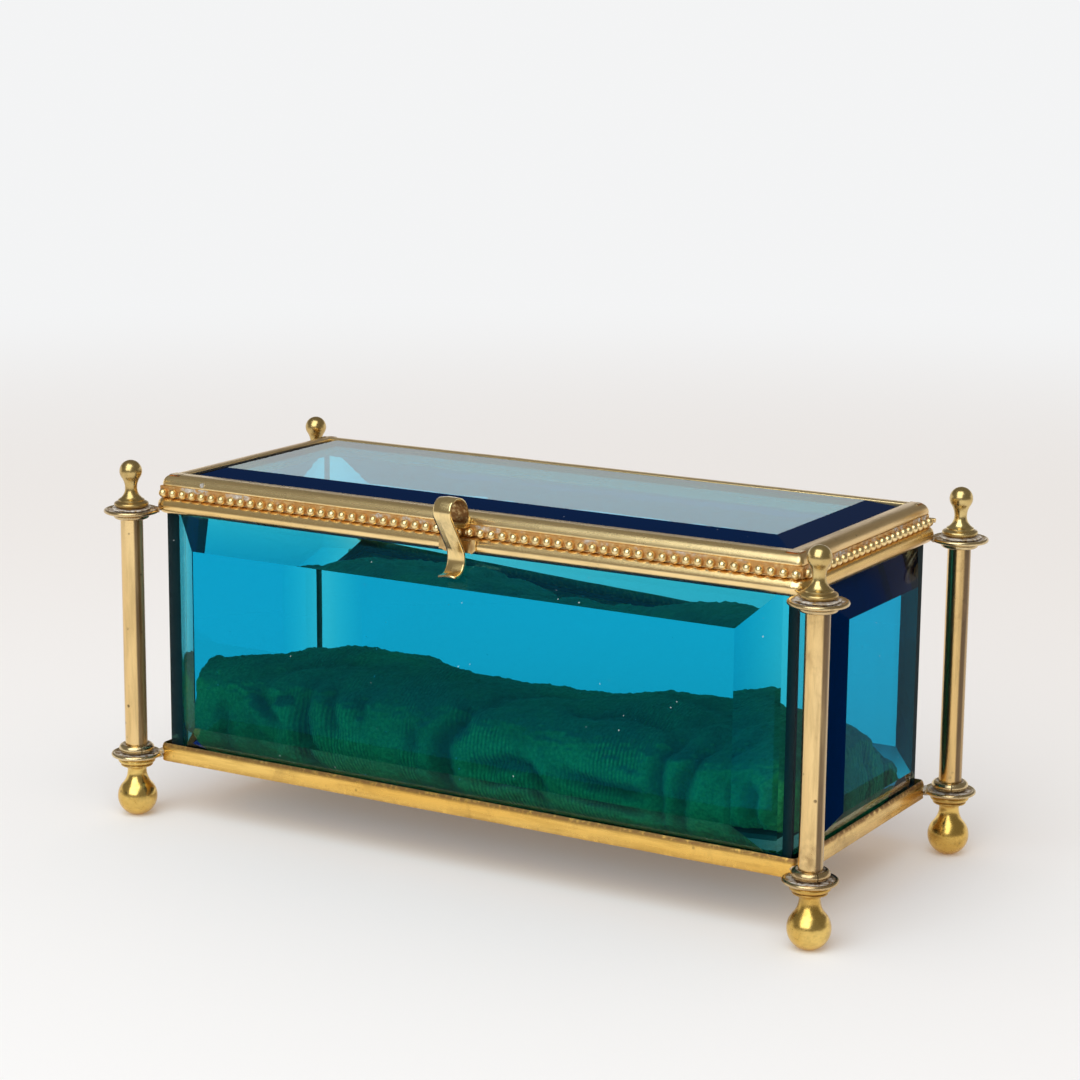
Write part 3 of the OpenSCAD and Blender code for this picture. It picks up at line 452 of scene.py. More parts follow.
# Valleys of the folds as (line, depth, width) in mm: lines on the front and back in (X, Z), on the ends in
# (Y, Z), on the top in (X, Y)
FRONT_FOLDS = [
    ([(-62.7, 35.7), (-58, 31.5), (-53.6, 27.7)], 2.6, 1.6),
    ([(-58.4, 32.7), (-54, 35), (-49.2, 36.6)], 1.5, 1.3),
    ([(-45.5, 39.2), (-47.4, 33), (-46.9, 29.7), (-46.3, 24.2), (-42.7, 19.5)], 3.6, 2.2),
    ([(-39.5, 39), (-38.8, 35), (-37.8, 31.6), (-36.6, 27)], 2.0, 1.4),
    ([(-30.6, 38.2), (-30.3, 35.6), (-29.5, 31.5)], 1.7, 1.6),
    ([(-15.5, 32.8), (-14.4, 30), (-13.8, 26)], 1.6, 1.7),
    ([(0.5, 42.7), (-1.5, 36), (-5.7, 29.8), (-5.4, 25), (-4.5, 20)], 3.8, 2.1),
    ([(3, 27), (6.8, 26.8), (12, 28.8), (17.9, 28.4), (20.5, 25), (21, 20)], 2.6, 1.5),
    ([(25.1, 28.5), (33, 27.2), (42, 26.4), (51, 26)], 2.6, 1.5),
    ([(58, 41), (55.2, 38.8), (52.7, 35.9), (52, 31), (52.5, 26), (53, 20)], 2.8, 1.6),
    ([(66, 40), (62, 37.3), (59.4, 31), (58.1, 25.4), (58, 20)], 2.4, 1.5),
    ([(70.5, 33), (72.5, 28), (73, 21)], 2.0, 1.6),
    ([(-72, 31), (-70.5, 26), (-71, 20)], 1.3, 2.0),
    ([(79, 36), (77.6, 30), (78.4, 22)], 1.8, 1.4),
]
END_FOLDS = [
    ([(-22, 38), (-20.5, 30), (-21, 20)], 2.2, 1.6),
    ([(-9, 38), (-11, 31), (-9.5, 21)], 2.6, 1.7),
    ([(3, 36), (5, 29), (4, 20)], 2.2, 1.5),
    ([(16, 35), (14.5, 28), (16, 20)], 2.4, 1.6),
]
BACK_FOLDS = [
    ([(x, 33), (x + d, 27), (x - d, 20)], 2.4, 1.7)
    for x, d in [(-72, 2), (-58, -2), (-41, 3), (-27, -1.5), (-9, 2), (8, -3), (24, 2), (39, -2), (57, 2.5),
                 (73, -2)]
]
TOP_FOLDS = [
    ([(-66, -24), (-55, -17), (-40, -14), (-24, -17)], 1.0, 2.2),
    ([(-44, 2), (-28, 6), (-12, 4), (4, 9)], 1.1, 2.4),
    ([(0.5, -28), (4, -18), (14, -9), (30, -6)], 1.3, 2.2),
    ([(20, -20), (36, -16), (50, -19), (60, -27)], 1.2, 2.0),
    ([(34, 3), (48, -2), (62, -9), (72, -20)], 1.1, 2.2),
    ([(-76, 14), (-64, 10), (-52, 16), (-36, 20)], 1.0, 2.4),
    ([(16, 18), (34, 14), (52, 18), (70, 12)], 1.0, 2.4),
]


def fold_weight(place, line, width):
    """How far each place lies in a fold and on its ridges, from 0 to 1. One flank is steeper, the ends fade."""
    best = np.full(len(place), 1e9)
    side = np.zeros(len(place))
    along = np.zeros(len(place))
    count = len(line) - 1
    for k in range(count):
        a, b = np.array(line[k], float), np.array(line[k + 1], float)
        d = b - a
        t = np.clip(((place - a) @ d) / (d @ d), 0, 1)
        off = place - (a + t[:, None] * d)
        dist = np.hypot(off[:, 0], off[:, 1])
        nearer = dist < best
        best = np.where(nearer, dist, best)
        side = np.where(nearer, np.sign(d[0] * off[:, 1] - d[1] * off[:, 0]), side)
        along = np.where(nearer, (k + t) / count, along)
    spread = np.where(side > 0, 0.75 * width, 1.5 * width)
    ends = np.minimum(1, 0.35 + 3 * np.minimum(along, 1 - along))
    valley = np.exp(-((best / spread) ** 2)) * ends
    ridge = np.exp(-(((best - 2.3 * width) / (1.1 * width)) ** 2)) * ends
    return valley, ridge


def cushion_section(x):
    """Points (Y, Z) of the closed section at X, in mm, before the ends are rounded off."""
    f, m, k = FRONT_TOP(x), MID_TOP(x), BACK_TEN(x)
    back = min(29.5, 10 + (k - 20.5) / 0.88)
    half = 10 + (back - 10) / 2
    return np.array([(-26.5, UNDERSIDE), (-29.2, 22), (-29.9, 27), (-29.5, f - 7), (-28, f - 2.2),
                     (-24, f + 0.2), (-14, (f + m) / 2 + 1.0), (-5, m + 0.2), (2, min(m, k + 7)), (6, k + 3.4),
                     (10, k - 0.2), (half, (k + 21.5) / 2 + 0.5), (back, 21.8), (back - 0.6, 20.2),
                     (back - 3, UNDERSIDE)])


def cushion_form():
    """Vertices in mm and faces of the crowned form, its left end squarer than its right one."""
    stations = np.concatenate([np.linspace(-82.6, -76, 6), np.linspace(-72, 72, 37), np.linspace(76, 82.6, 6)])
    verts = []
    for x in stations:
        p = cushion_section(x)
        power, keep = (3, 0.78) if x > 0 else (8, 0.94)
        over = max(0.0, (abs(x) - 77.5) / 5.2)
        shrink = math.sqrt(max(0.0, 1 - over ** power))
        y = p[:, 0] * (0.78 + 0.22 * shrink)
        z = UNDERSIDE + (p[:, 1] - UNDERSIDE) * (keep + (1 - keep) * shrink)
        verts += [(x, a, b) for a, b in zip(y, z)]
    return verts, skin(len(stations), len(cushion_section(0)))


def keep_inside(co, x, y, low, high=np.inf):
    """Holds points within the space that the box leaves for the cushion."""
    for axis, (start, end) in enumerate(((-x, x), (-y, y), (low, high))):
        co[:, axis] = np.clip(co[:, axis], start, end)


def fold_marks(co, normal):
    """For each point of the form: how far the folds push it out, how deep their creases cut, and how much it
    lies in a fold and on a ridge."""
    front = np.clip((-normal[:, 1] - 0.1) / 0.35, 0, 1)
    back = np.clip((normal[:, 1] - 0.1) / 0.35, 0, 1)
    top = np.clip((normal[:, 2] - 0.45) / 0.35, 0, 1)
    ends = np.clip((np.abs(normal[:, 0]) - 0.35) / 0.35, 0, 1)
    push, crease, held, risen = np.zeros((4, len(co)))
    for folds, plane, where in ((FRONT_FOLDS, [0, 2], front), (BACK_FOLDS, [0, 2], back),
                                (END_FOLDS, [1, 2], ends), (TOP_FOLDS, [0, 1], top)):
        for line, depth, width in folds:
            valley, ridge = fold_weight(co[:, plane], line, width)
            sharp, _ = fold_weight(co[:, plane], line, 0.45 * width)
            push += where * (0.25 * depth * ridge - 0.6 * depth * valley)
            crease += where * 0.28 * depth * sharp
            held = np.maximum(held, where * valley * min(1.0, depth / 2.2))
            risen = np.maximum(risen, where * ridge * min(1.0, depth / 2.2))
    wrinkle = np.array([noise.noise(Vector((p[0] * 0.09, p[1] * 0.16, p[2] * 0.12))) for p in co])
    fine = np.array([noise.noise(Vector((p[0] * 0.22 + 7, p[1] * 0.33, p[2] * 0.25))) for p in co])
    push += np.clip((co[:, 2] - 20.5) / 3, 0, 1) * (1.3 * wrinkle + 0.7 * fine)
    return push, crease, held, risen


def puff_up(ob, co, held):
    """Puffs the cloth up by a simulation that holds it in the folds and below. No point moves by more than
    MOST."""
    pin = ob.vertex_groups.new(name="pin")
    weight = np.maximum(np.clip(held * 1.6 - 0.3, 0, 1), np.clip((21.5 - co[:, 2]) / 1.5, 0, 1))
    for i in np.nonzero(weight > 0.02)[0]:
        pin.add([int(i)], float(weight[i]), "REPLACE")
    cloth = ob.modifiers.new("cloth", "CLOTH")
    settings = cloth.settings
    settings.quality = 6
    settings.mass = 0.35
    settings.tension_stiffness = settings.compression_stiffness = 12
    settings.shear_stiffness = 6
    settings.bending_stiffness = 0.25
    settings.use_pressure = True
    settings.uniform_pressure_force = 4.0
    settings.vertex_group_mass = "pin"
    settings.effector_weights.gravity = 0
    cloth.point_cache.frame_start = 1
    cloth.point_cache.frame_end = CLOTH_FRAMES
    for f in range(1, CLOTH_FRAMES + 1):
        scene.frame_set(f)
    bake_modifiers(ob)
    scene.frame_set(1)
    step = points_of(ob.data) / (MM * CLOTH_SCALE) - co
    far = np.linalg.norm(step, axis=1)
    return co + step * np.where(far > MOST, MOST / np.maximum(far, 1e-9), 1.0)[:, None]


def raise_nap(mesh):
    """The pile's tufts: a fine unevenness all over the cloth."""
    co = points_of(mesh) / MM
    clump = np.array([noise.noise(Vector(p * 0.8)) for p in co])
    tuft = np.random.default_rng(7).random(len(co))
    rise = 0.3 * clump + 0.55 * np.clip(tuft - 0.55, 0, 1) * (0.6 + clump)
    rise *= np.clip((co[:, 2] - 20) / 2, 0, 1)
    co += points_of(mesh, "normal") * rise[:, None]
    keep_inside(co, 83.2, 31.05, 19.12)
    set_points(mesh, co * MM)


def add_cushion():
    verts, faces = cushion_form()
    ob = new_object("plush_cushion", [tuple(c * MM * CLOTH_SCALE for c in v) for v in verts], faces, PLUSH)
    ob.modifiers.new("round", "SUBSURF").levels = 2
    remesh = ob.modifiers.new("grid", "REMESH")
    remesh.mode = "VOXEL"
    remesh.voxel_size = 1.25 * MM * CLOTH_SCALE
    ob.modifiers.new("relax", "SMOOTH").iterations = 6
    bake_modifiers(ob)

    co = points_of(ob.data) / (MM * CLOTH_SCALE)
    normal = points_of(ob.data, "normal")
    push, crease, held, risen = fold_marks(co, normal)
    co += normal * push[:, None]
    keep_inside(co, np.inf, 30.9, 19.25)
    set_points(ob.data, co * MM * CLOTH_SCALE)
    co = puff_up(ob, co, held)
    co -= normal * crease[:, None]
    keep_inside(co, 83.1, 31.0, 19.15, 46.0)
    mesh = ob.data
    set_points(mesh, co * MM)
    # The fold and ridge marks carry painted shade in the folds and a painted highlight on the ridges
    set_attribute(mesh, "fold", np.clip(held, 0, 1))
    set_attribute(mesh, "ridge", np.clip(risen, 0, 1))
    across = np.clip((np.abs(normal[:, 0]) - 0.6) / 0.2, 0, 1)
    set_attribute(mesh, "rib", (co[:, 0] * (1 - across) + co[:, 1] * across) * MM)
    fine = ob.modifiers.new("fine", "SUBSURF")
    fine.levels = fine.render_levels = 1
    bake_modifiers(ob)
    raise_nap(ob.data)
    ob.data.shade_smooth()
    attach(ob, "casket")
    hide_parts("cushion")


# ---------------------------------------------------------------- hard pieces
CORNERS = {"front_left": (-1, -1), "front_right": (1, -1), "back_left": (-1, 1), "back_right": (1, 1)}
SIDES = ["front", "right", "back", "left"]


def arc(r, z, radius, start, end, count=10, grime=0.0, crust=0.0):
    """Profile points on a circle, with their grime and crust."""
    angles = [math.radians(start + (end - start) * k / count) for k in range(count + 1)]
    return [(r + radius * math.cos(a), z + radius * math.sin(a), grime, crust) for a in angles]


def points(*rows):
    """Profile points of radius and height, with their grime and crust where they are given."""
    return [(*row, 0.0, 0.0)[:4] for row in rows]


def lathe(corner, profile, closed=False, slit=None, wobble=0.0, segments=72):
    """Vertices, faces and marks of a profile turned about a column's axis, open over a slit of (angle, width)."""
    x0, y0 = CORNERS[corner][0] * COLUMN_X, CORNERS[corner][1] * COLUMN_Y
    first, last, turns = 0.0, 2 * math.pi, segments
    if slit:
        first, last, turns = slit[0] + slit[1] / 2, slit[0] - slit[1] / 2 + 2 * math.pi, segments + 1
    verts, faces, marks = [], [], []
    for i in range(turns):
        a = first + (last - first) * i / segments
        for r, z, grime, crust in profile:
            d = wobble * noise.noise(Vector((x0 + 1.7 * math.cos(a), y0 + 1.7 * math.sin(a), z * 0.7)))
            r = r + d if r > 0 else 0.0
            verts.append((x0 + r * math.cos(a), y0 + r * math.sin(a), z))
            marks.append((grime, crust))
    n = len(profile)
    for i in range(segments):
        j = (i + 1) % turns
        for k in range(n if closed else n - 1):
            q = (k + 1) % n
            faces.append((i * n + k, j * n + k, j * n + q, i * n + q))
    if slit:
        faces += [list(range(n)), [segments * n + k for k in range(n)][::-1]]
    return verts, faces, marks


def lump(centre, size, seed, grime=0.3, crust=1.0, rings=14):
    """A blob of solder: an uneven ball."""
    verts, faces = [], []
    m = 2 * rings
    for i in range(rings + 1):
        t = math.pi * i / rings
        for j in range(m):
            a = math.pi * j / rings
            d = Vector((math.sin(t) * math.cos(a), math.sin(t) * math.sin(a), math.cos(t)))
            w = 1 + 0.22 * noise.noise(d * 1.8 + Vector((seed, 0, 0))) \
                + 0.08 * noise.noise(d * 5 + Vector((0, seed, 0)))
            verts.append(tuple(c + u * v * w for c, u, v in zip(centre, d, size)))
            if i < rings:
                q = (j + 1) % m
                faces.append((i * m + j, (i + 1) * m + j, (i + 1) * m + q, i * m + q))
    return verts, faces, [(grime, crust)] * len(verts)


def build(name, shells, material, body, replaced, sharp=40.0):
    """One piece of several shells in mm, in place of a node of the CAD."""
    verts, faces, marks = [], [], []
    for v, f, m in shells:
        base = len(verts)
        verts += [tuple(c * MM for c in p) for p in v]
        faces += [[base + k for k in face] for face in f]
        marks += m
    ob = new_object(name, verts, faces, material, sharp, marks)
    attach(ob, body)
    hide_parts(replaced)


def arm(corner, target):
    """A column's centre and the level direction from it towards the moulding."""
    sx, sy = CORNERS[corner]
    length = math.hypot(*target)
    return sx * COLUMN_X, sy * COLUMN_Y, -sx * target[0] / length, -sy * target[1] / length


def ear(corner, target, reach, z, thick=0.9, width=3.0, edge=0.32, rows=5):
    """The arm from a disc to the moulding, with rounded edges."""
    x0, y0, ux, uy = arm(corner, target)
    section = []
    for cx, cz, start in ((1, 1, 0), (-1, 1, 90), (-1, -1, 180), (1, -1, 270)):
        for k in range(5):
            a = math.radians(start + 22.5 * k)
            section.append((cx * (width / 2 - edge) + edge * math.cos(a),
                            cz * (thick / 2 - edge) + edge * math.sin(a)))
    verts = []
    for i in range(rows):
        t = 4.6 + (reach - 4.6) * i / (rows - 1)
        verts += [(x0 + ux * t - uy * w, y0 + uy * t + ux * w, z + thick / 2 + h) for w, h in section]
    return verts, skin(rows, len(section)), [(0.6, 0.3)] * len(verts)


def foot_profile():
    """Ball, hollow neck, a small step and a rounded flange."""
    ball = arc(0, 4.854, 5.0, -76, 41.6, 40)
    neck = arc(7.7, 11.69, 5.3, 221.6, 176, 14)[1:]
    step = points((2.9, 12.75, 0.3), (3.6, 12.9, 0.5)) + arc(3.75, 13.25, 0.3, -80, 80, 8, 0.4) \
        + points((3.95, 13.62, 0.9, 0.2))
    flange = arc(4.0, 14.4, 0.7, -70, 80, 10, 0.2) + points((3.6, 15.36, 0.5), (0, 15.4))
    return points((0, 0), (1.1, 0.0)) + ball + neck + step + flange


def finial_profile():
    """Rounded flange, a hollow stem and a ball."""
    foot = points((0, 79.5), (3.5, 79.5, 0.8), (3.55, 79.8, 0.9, 0.2)) + arc(3.75, 80.4, 0.55, -70, 75, 10, 0.2)
    rise = points((3.55, 81.05, 0.4), (3.3, 81.25, 0.2))
    stem = arc(4.7, 84.4, 3.2, 243, 180, 16) + arc(6.3, 84.4, 4.8, 178, 147, 10)
    return foot + rise + stem + arc(0, 88.65, 2.8, -35, 90, 30)


def disc_profile(r, z):
    """A dished disc with a round rim; the crust lies in the dish."""
    under = points((1.0, z, 0.5), (3.0, z + 0.02, 0.5), (r - 1.4, z + 0.1, 0.3))
    rim = arc(r - 0.52, z + 0.5, 0.5, -90, 118, 14)
    dish = points((r - 1.1, z + 0.72, 0.6, 0.5), (r - 1.6, z + 0.66, 0.8, 1.0), (4.2, z + 0.7, 0.8, 1.0),
                  (3.0, z + 0.95, 0.8, 0.6), (1.0, z + 0.96, 0.5))
    return under + rim + dish


def collar_profile(z, h, r=4.45):
    """A ring with a round outside, hollowed a little on top against the tube."""
    crest = r - 0.5 * h
    outer = arc(crest, z + 0.5 * h, 0.5 * h, -88, 88, 16)
    top = points((crest - 0.25, z + h - 0.12, 0.6, 0.9), (3.1, z + h - 0.28, 0.8, 1.0),
                 (2.86, z + h - 0.2, 0.8, 0.8))
    return outer + top + points((2.86, z + 0.1, 0.5), (crest - 0.3, z + 0.02, 0.4))


def solder_ring_profile():
    """The grey ring under a finial."""
    edge = arc(4.9, 79.33, 0.16, -70, 90, 6, 0.3, 1)
    return points((1.2, 79.18, 0.3, 1)) + edge + points((3.2, 79.5, 0.3, 1), (1.2, 79.5, 0.3, 1))


def add_columns():
    low_target, high_target = (6.5, 4.6), (8.0, 6.1)
    for k, corner in enumerate(CORNERS):
        for part, node, profile, finish in (("turned_foot_", "ball_foot_", foot_profile(), FOOT),
                                            ("turned_finial_", "finial_", finial_profile(), FINIAL)):
            shell = lathe(corner, profile, segments=96)
            build(part + corner, [shell], finish, "casket", node + corner)
        x0, y0, ux, uy = arm(corner, low_target)
        x, y = x0 + ux * 6.35, y0 + uy * 6.35
        low = [lathe(corner, disc_profile(6.4, 15.4), True, wobble=0.05),
               ear(corner, low_target, 6.42, 15.45),
               lump((x, y, 16.45), (1.35, 1.25, 0.75), 3.1 + k),
               lump((x * 1.004, y * 1.01, 15.3), (1.0, 1.0, 0.5), 7.7 + k)]
        build("dished_disc_lower_" + corner, low, TURNED, "casket", "lower_disc_" + corner)
        x0, y0, ux, uy = arm(corner, high_target)
        x, y = x0 + ux * 6.6, y0 + uy * 6.6
        high = [lathe(corner, disc_profile(6.9, 78.2), True, wobble=0.05),
                ear(corner, high_target, 6.9, 78.25),
                lump((x, y, 79.1), (1.2, 1.1, 0.5), 12.3 + k, 0.7, 0.3)]
        build("dished_disc_upper_" + corner, high, TURNED, "casket", "upper_disc_" + corner)
    slits = {"front_left": -0.6, "front_right": -0.75, "back_left": 2.2, "back_right": -1.1}
    for level, z, h, turn in (("lower", 16.42, 2.15, 0.0), ("upper", 76.72, 1.45, 2.6)):
        rings = [lathe(c, collar_profile(z, h), True, (a + turn, 0.05), 0.03) for c, a in slits.items()]
        build("split_collars_" + level, rings, TURNED, "casket", level + "_collars")
    rings = [lathe(c, solder_ring_profile(), True, wobble=0.55) for c in CORNERS]
    build("solder_rings", rings, TURNED, "casket", "finial_washers")


def sweep_side(side, profile, out, waves, seed, corner_r=1.5, step=2.0):
    """Runs a closed profile of (distance outside the glass edge, height, grime) along one side of a frame."""
    half, dist = (HALF_X, HALF_Y) if side % 2 == 0 else (HALF_Y, HALF_X)
    axis = out - corner_r
    turn = math.radians(90 * side)
    cs, sn = math.cos(turn), math.sin(turn)
    straight = half + axis
    count = max(6, round(2 * straight / step))
    stations = [("arc", -1, a) for a in (45, 36, 27, 18, 9)]
    stations += [("line", -straight + 2 * straight * k / count, 0) for k in range(count + 1)]
    stations += [("arc", 1, a) for a in (9, 18, 27, 36, 45)]
    verts, marks = [], []
    for kind, t, a in stations:
        for e, z, grime in profile:
            x, y = t, -dist - e
            if kind == "arc" and e < axis:
                x = t * (straight + (e - axis))
            elif kind == "arc":
                r = max(e - axis, 0.0)
                x = t * (straight + r * math.sin(math.radians(a)))
                y = -(dist + axis) - r * math.cos(math.radians(a))
            fade = min(1.0, (half - abs(x)) / 8) if abs(x) < half else 0.0
            if e > 0.9 * axis:
                y += waves * fade * noise.noise(Vector((x * 0.045 + seed, side * 3.1, 0.2)))
                y += 0.35 * waves * fade * noise.noise(Vector((x * 0.25 + seed, side * 5.3, z * 0.2)))
            z += 0.8 * waves * fade * noise.noise(Vector((x * 0.06 + seed, side * 7.9, 4.4)))
            verts.append((x * cs - y * sn, x * sn + y * cs, z))
            marks.append((grime, 0.0))
    return verts, skin(len(stations), len(profile)), marks


def base_profile():
    """The angle under the glass: a slightly bellied wall with a rounded lip, and the flange."""
    lip = [(1.4, 18.5, 0.6), (1.46, 18.66, 0.8), (1.6, 18.68, 0.9), (1.76, 18.5, 0.95), (1.9, 18.2, 0.95),
           (2.0, 17.88, 0.7), (2.06, 17.55, 0.15)]
    belly = [(2.09, 17.1, 0.0), (2.1, 16.5, 0.0), (2.09, 15.8, 0.05), (2.05, 15.2, 0.1), (1.98, 14.75, 0.2)]
    foot = [(x, z, 0.4) for x, z, _, _ in arc(1.6, 14.42, 0.42, 0, -90, 6)]
    flange = [(-2, 14.0, 0.4), (-6.2, 14.02, 0.5), (-6.2, 14.78, 0.6), (-2, 14.8, 0.9), (1.1, 14.8, 1.0),
              (1.38, 15.0, 1.0), (1.4, 16.6, 0.9)]
    return lip + belly + foot + flange


def lid_profile():
    """The lid's channel: a broad rounding outside, lips over and under the glass, a recess behind the beads."""
    crown = [(-1.5 + 2.6 * math.cos(math.radians(a)), 85.3 + 2.4 * math.sin(math.radians(a)))
             for a in range(0, 91, 6)]
    lip = [(-3.5, 87.7), (-3.65, 87.62), (-3.7, 87.45), (-3.7, 86.8), (-2.4, 86.8)]
    under = [(-2.4, 83.3), (-3.7, 83.3), (-3.7, 82.45), (0.4, 82.45), (0.4, 85.02), (0.95, 85.02)]
    return [(x, z, 0.0) for x, z in crown + lip + under]


def add_rails(prefix, node, body, profile, out, waves, seed, seed_step, finishes):
    """The four mitred lengths of a moulding."""
    for k, side in enumerate(SIDES):
        shell = sweep_side(k, profile, out, waves, seed + k * seed_step)
        build(prefix + side, [shell], finishes[k % 2], body, node + side, sharp=50)


# The clasp's middle line, as in part.scad: radius and signed turn in degrees, or zero radius and a length in
# mm. It starts on an arc of (Y, Z, radius, angle).
CLASP_START = (-38.4, 87.0, 1.5, -100.0)
CLASP_STEPS = [(1.5, 100.0), (5.1, 90.7), (3.0, 123.3), (0.0, 8.9), (5.1, -42.7), (3.2, -100.0)]
CLASP_X, CLASP_T = 0.8, 0.7
# Along the line, the points in the roll, whose hollow side is darker and browner, and those in the thinned foot
ROLL_END, FOOT_LENGTH = 74, 3


def clasp_line():
    """Points and headings in degrees along the clasp's middle line."""
    y, z, r, start = CLASP_START
    a = math.radians(start)
    p = np.array([y + r * math.cos(a), z + r * math.sin(a)])
    h = start + 90
    out = [(p, h)]
    for r, turn in CLASP_STEPS:
        count = 6 if r == 0 else max(4, round(abs(turn) / 4))
        sign = 1 if turn > 0 else -1
        for _ in range(count):
            h0 = math.radians(h)
            if r == 0:
                p = p + turn / count * np.array([math.cos(h0), math.sin(h0)])
            else:
                h = h + turn / count
                h1 = math.radians(h)
                p = p + sign * r * np.array([math.sin(h1) - math.sin(h0), math.cos(h0) - math.cos(h1)])
            out.append((p, h))
    return out


def camber(u):
    """The clasp's bend across its width: a crease on the left third, and a slight hollow right of it."""
    return -0.15 * (-0.55 - u) if u < -0.55 else -0.012 * (u + 0.55) ** 2


def add_clasp():
    """The spring strip, creased along its left third and rounded at its foot."""
    line = clasp_line()
    t = CLASP_T / 2
    us = [-2.33, -1.9, -1.2, -0.68, -0.55, -0.42, 0.5, 1.4, 2.1, 2.33]
    section = [(-2.45, camber(-2.45) + s * 0.4 * t) for s in (-1, 1)]
    section += [(u, camber(u) + t) for u in us]
    section += [(2.45, camber(2.45) + s * 0.4 * t) for s in (1, -1)]
    section += [(u, camber(u) - t) for u in reversed(us)]
    verts, marks = [], []
    for i, (p, h) in enumerate(line):
        a = math.radians(h)
        # The outside of the roll lies to the right of the line's heading
        normal = np.array([math.sin(a), -math.cos(a)])
        foot = max(0.0, 1 - (len(line) - 1 - i) / FOOT_LENGTH)
        for u, n in section:
            q = p + normal * (camber(u) + (n - camber(u)) * (1.0 - 0.4 * foot))
            verts.append((CLASP_X + u * (1.0 - 0.1 * foot ** 2), q[0], q[1]))
            marks.append((1.0 if i < ROLL_END and n < camber(u) else 0.0, 0.0))
    shell = verts, skin(len(line), len(section)), marks
    build("creased_clasp", [shell], SPRING, "clasp", "clasp", sharp=60)


def add_catch(columns=40, rows=10):
    """The plate behind the hook, with a torn lower edge."""
    verts, faces, marks = [], [], []
    for layer in (0, 1):
        for i in range(columns + 1):
            u = i / columns
            x = -4.6 + 10.0 * u
            torn = 0.5 * noise.noise(Vector((x * 0.9, 3.3, 0.0))) \
                + 0.25 * noise.noise(Vector((x * 3.1, 1.7, 0.0)))
            corner = 0.5 * (max(0.0, 1 - u * 9) ** 2 + max(0.0, 1 - (1 - u) * 9) ** 2)
            low = 78.65 + 0.9 * torn + corner
            for j in range(rows + 1):
                z = low + (81.95 - low) * j / rows
                bow = 0.12 * noise.noise(Vector((x * 0.35, z * 0.4, 2.2)))
                y = -37.35 + 0.5 * bow
                if layer == 0:
                    y = -37.85 + bow + 0.12 * max(0.0, 1 - min(i, columns - i, j) / 2)
                verts.append((x, y, z))
                marks.append((0.35 + 0.5 * noise.noise(Vector((x, z, 6.0))), 0.0))
    stride = rows + 1
    block = (columns + 1) * stride
    for i in range(columns):
        for j in range(rows):
            a = i * stride + j
            faces.append((a, a + stride, a + stride + 1, a + 1))
            faces.append((block + a, block + a + 1, block + a + stride + 1, block + a + stride))
    border = [i * stride for i in range(columns)] + [columns * stride + j for j in range(rows)]
    border += [i * stride + rows for i in range(columns, 0, -1)] + list(range(rows, 0, -1))
    for a, b in zip(border, border[1:] + border[:1]):
        faces.append((a, block + a, block + b, b))
    smear = lump((3.4, -37.5, 81.7), (1.7, 0.45, 0.4), 5.0, 0.9, 0.0)
    build("torn_catch", [(verts, faces, marks), smear], CATCH, "casket", "catch_plate")


add_cushion()
add_columns()
add_rails("bellied_base_", "base_rail_", "casket", base_profile(), 2.1, 0.07, 0.0, 11.3, (BASE_X, BASE_Y))
add_rails("rounded_lid_", "lid_rail_", "lid", lid_profile(), 1.1, 0.05, 20.0, 7.7, (LID_X, LID_Y))
add_clasp()
add_catch()


# ---------------------------------------------------------------- stage
def add_floor():
    mesh = bpy.data.meshes.new("floor")
    bm = bmesh.new()
    bmesh.ops.create_circle(bm, cap_ends=True, segments=96, radius=6.0)
    bm.to_mesh(mesh)
    bm.free()
    floor = bpy.data.objects.new("floor", mesh)
    scene.collection.objects.link(floor)
    s = Shader("floor")
    place = s.coords["Object"]
    path = s.node("LightPath").outputs
    # The photograph's shadows are warm: a little of the floor's light is its own and warm, the rest is cool
    # Painted light: the floor glows a warm emission that lifts its shadows, and its paint is cool so that lit
    # floor looks neutral
    paint = s.principled(Base_Color=(0.665, 0.735, 0.79), Roughness=0.7, Specular_IOR_Level=0.2,
                         Emission_Color=(0.195, 0.13, 0.085), Emission_Strength=1.0)
    outwards = s.node("VectorMath", (place,), operation="NORMALIZE").outputs[0]
    room = s.mix(s.ramp(s.dot(outwards, AWAY), -0.15, 0.45), (0.22, 0.21, 0.19), BACKDROP)
    glow = s.node("Emission", (s.mix(path["Is Glossy Ray"], BACKDROP, room),)).outputs[0]
    distance = s.node("VectorMath", (place,), operation="LENGTH").outputs["Value"]
    far = s.times(s.ramp(distance, 0.3, 1.1), s.math("MAXIMUM", path["Is Camera Ray"], path["Is Glossy Ray"]))
    # Painted light: seen through the glass, the floor close to the casket glows, hiding its shadow there
    painted_glow_through_glass = s.times(s.ramp(distance, 0.06, 0.26), path["Is Transmission Ray"])
    lit = s.mix_shader(s.math("MAXIMUM", far, painted_glow_through_glass), paint, glow)
    # The photograph's glass shows hardly any of the floor, as through a polarising filter
    mirrored = s.times(path["Is Singular Ray"], path["Is Reflection Ray"], 0.85)
    black = s.node("Emission", {"Strength": 0.0}).outputs[0]
    mesh.materials.append(s.surface(s.mix_shader(mirrored, lit, black)))


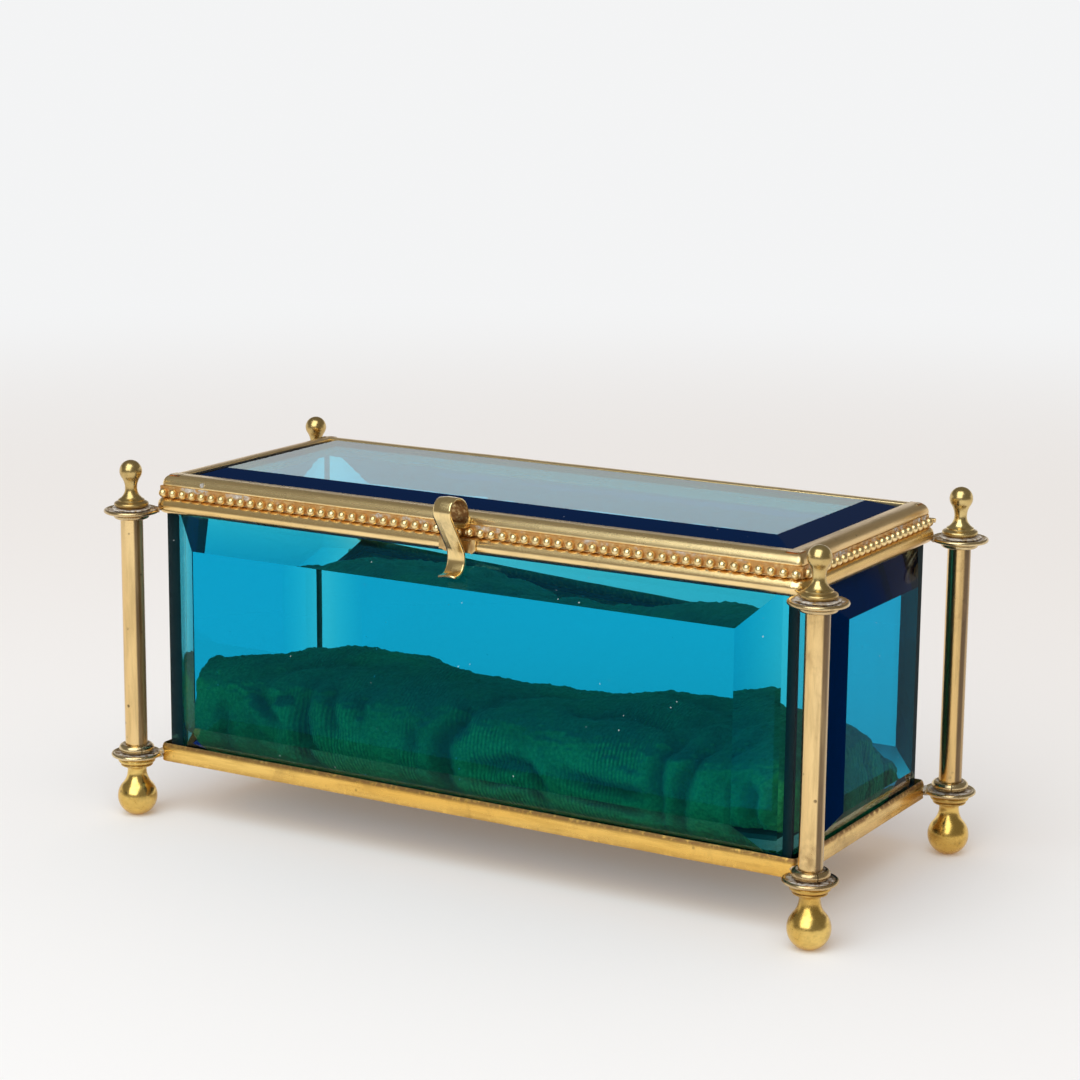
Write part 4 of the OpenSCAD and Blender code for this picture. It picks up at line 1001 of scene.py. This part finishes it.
def add_world():
    """A pale backdrop, low and away from the camera, in a dim room. Light through glass meets two narrow
    bands of it: one at the floor, and one at the height that the panes' upper bevels look at."""
    s = Shader("studio", bpy.data.worlds, "OutputWorld")
    view = s.coords["Generated"]
    path = s.node("LightPath").outputs
    refracted = path["Is Transmission Ray"]
    away, height = s.dot(view, AWAY), s.axis("Z", view)
    below = s.ramp(height, 0.215, 0.255, 1.0, 0.0)
    low = s.ramp(height, 0.07, 0.12, 1.0, 0.0)
    second = s.times(s.ramp(height, 0.135, 0.165), below)
    band = s.blend(refracted, below, s.math("MAXIMUM", low, second))
    facing = s.blend(refracted, s.ramp(away, -0.15, 0.45), s.ramp(away, 0.6, 0.85))
    room = s.mix(path["Is Diffuse Ray"], (0.21, 0.2, 0.18), (0.68, 0.595, 0.53))
    room = s.mix(refracted, room, (0.03, 0.03, 0.03))
    room = s.mix(s.times(facing, band), room, BACKDROP)
    seen = s.mix(path["Is Camera Ray"], room, BACKDROP)
    scene.world = s.surface(s.node("Background", (seen,)).outputs[0])


def add_key(size, at, target, energy, colour):
    """The one lamp, a large soft box."""
    lamp = bpy.data.lights.new("key", "AREA")
    lamp.shape = "RECTANGLE"
    lamp.size, lamp.size_y = size
    lamp.energy = energy
    lamp.color = colour
    ob = bpy.data.objects.new("key", lamp)
    ob.location = at
    ob.rotation_euler = (Vector(target) - Vector(at)).to_track_quat("-Z", "Y").to_euler()
    scene.collection.objects.link(ob)


def add_camera():
    """The camera solved from the casket's straight edges in the photograph."""
    yaw, pitch, roll = (math.radians(a) for a in (-30.478, 11.784, 0.501))
    ahead = Vector((math.sin(yaw) * math.cos(pitch), math.cos(yaw) * math.cos(pitch), -math.sin(pitch)))
    right = Vector((math.cos(yaw), -math.sin(yaw), 0))
    up = right.cross(ahead)
    x = math.cos(roll) * right + math.sin(roll) * up
    y = -math.sin(roll) * right + math.cos(roll) * up
    data = bpy.data.cameras.new("camera")
    data.lens = 93.02
    data.sensor_width = 36
    data.clip_start = 0.01
    data.clip_end = 50
    camera = bpy.data.objects.new("camera", data)
    m = Matrix((x, y, -ahead)).transposed().to_4x4()
    m.translation = Vector((339.70, -576.06, 214.31)) * MM
    camera.matrix_world = m
    scene.collection.objects.link(camera)
    scene.camera = camera


add_floor()
add_world()
add_key((1.5, 2.0), (0.12, -1.06, 1.19), (0, 0, 0.05), 24, (0.87, 0.95, 1.0))
add_camera()
scene.view_settings.view_transform = "Standard"
scene.cycles.max_bounces = 24
scene.cycles.glossy_bounces = 16
scene.cycles.transmission_bounces = 20
scene.cycles.transparent_max_bounces = 24
scene.cycles.caustics_refractive = False
scene.cycles.caustics_reflective = True
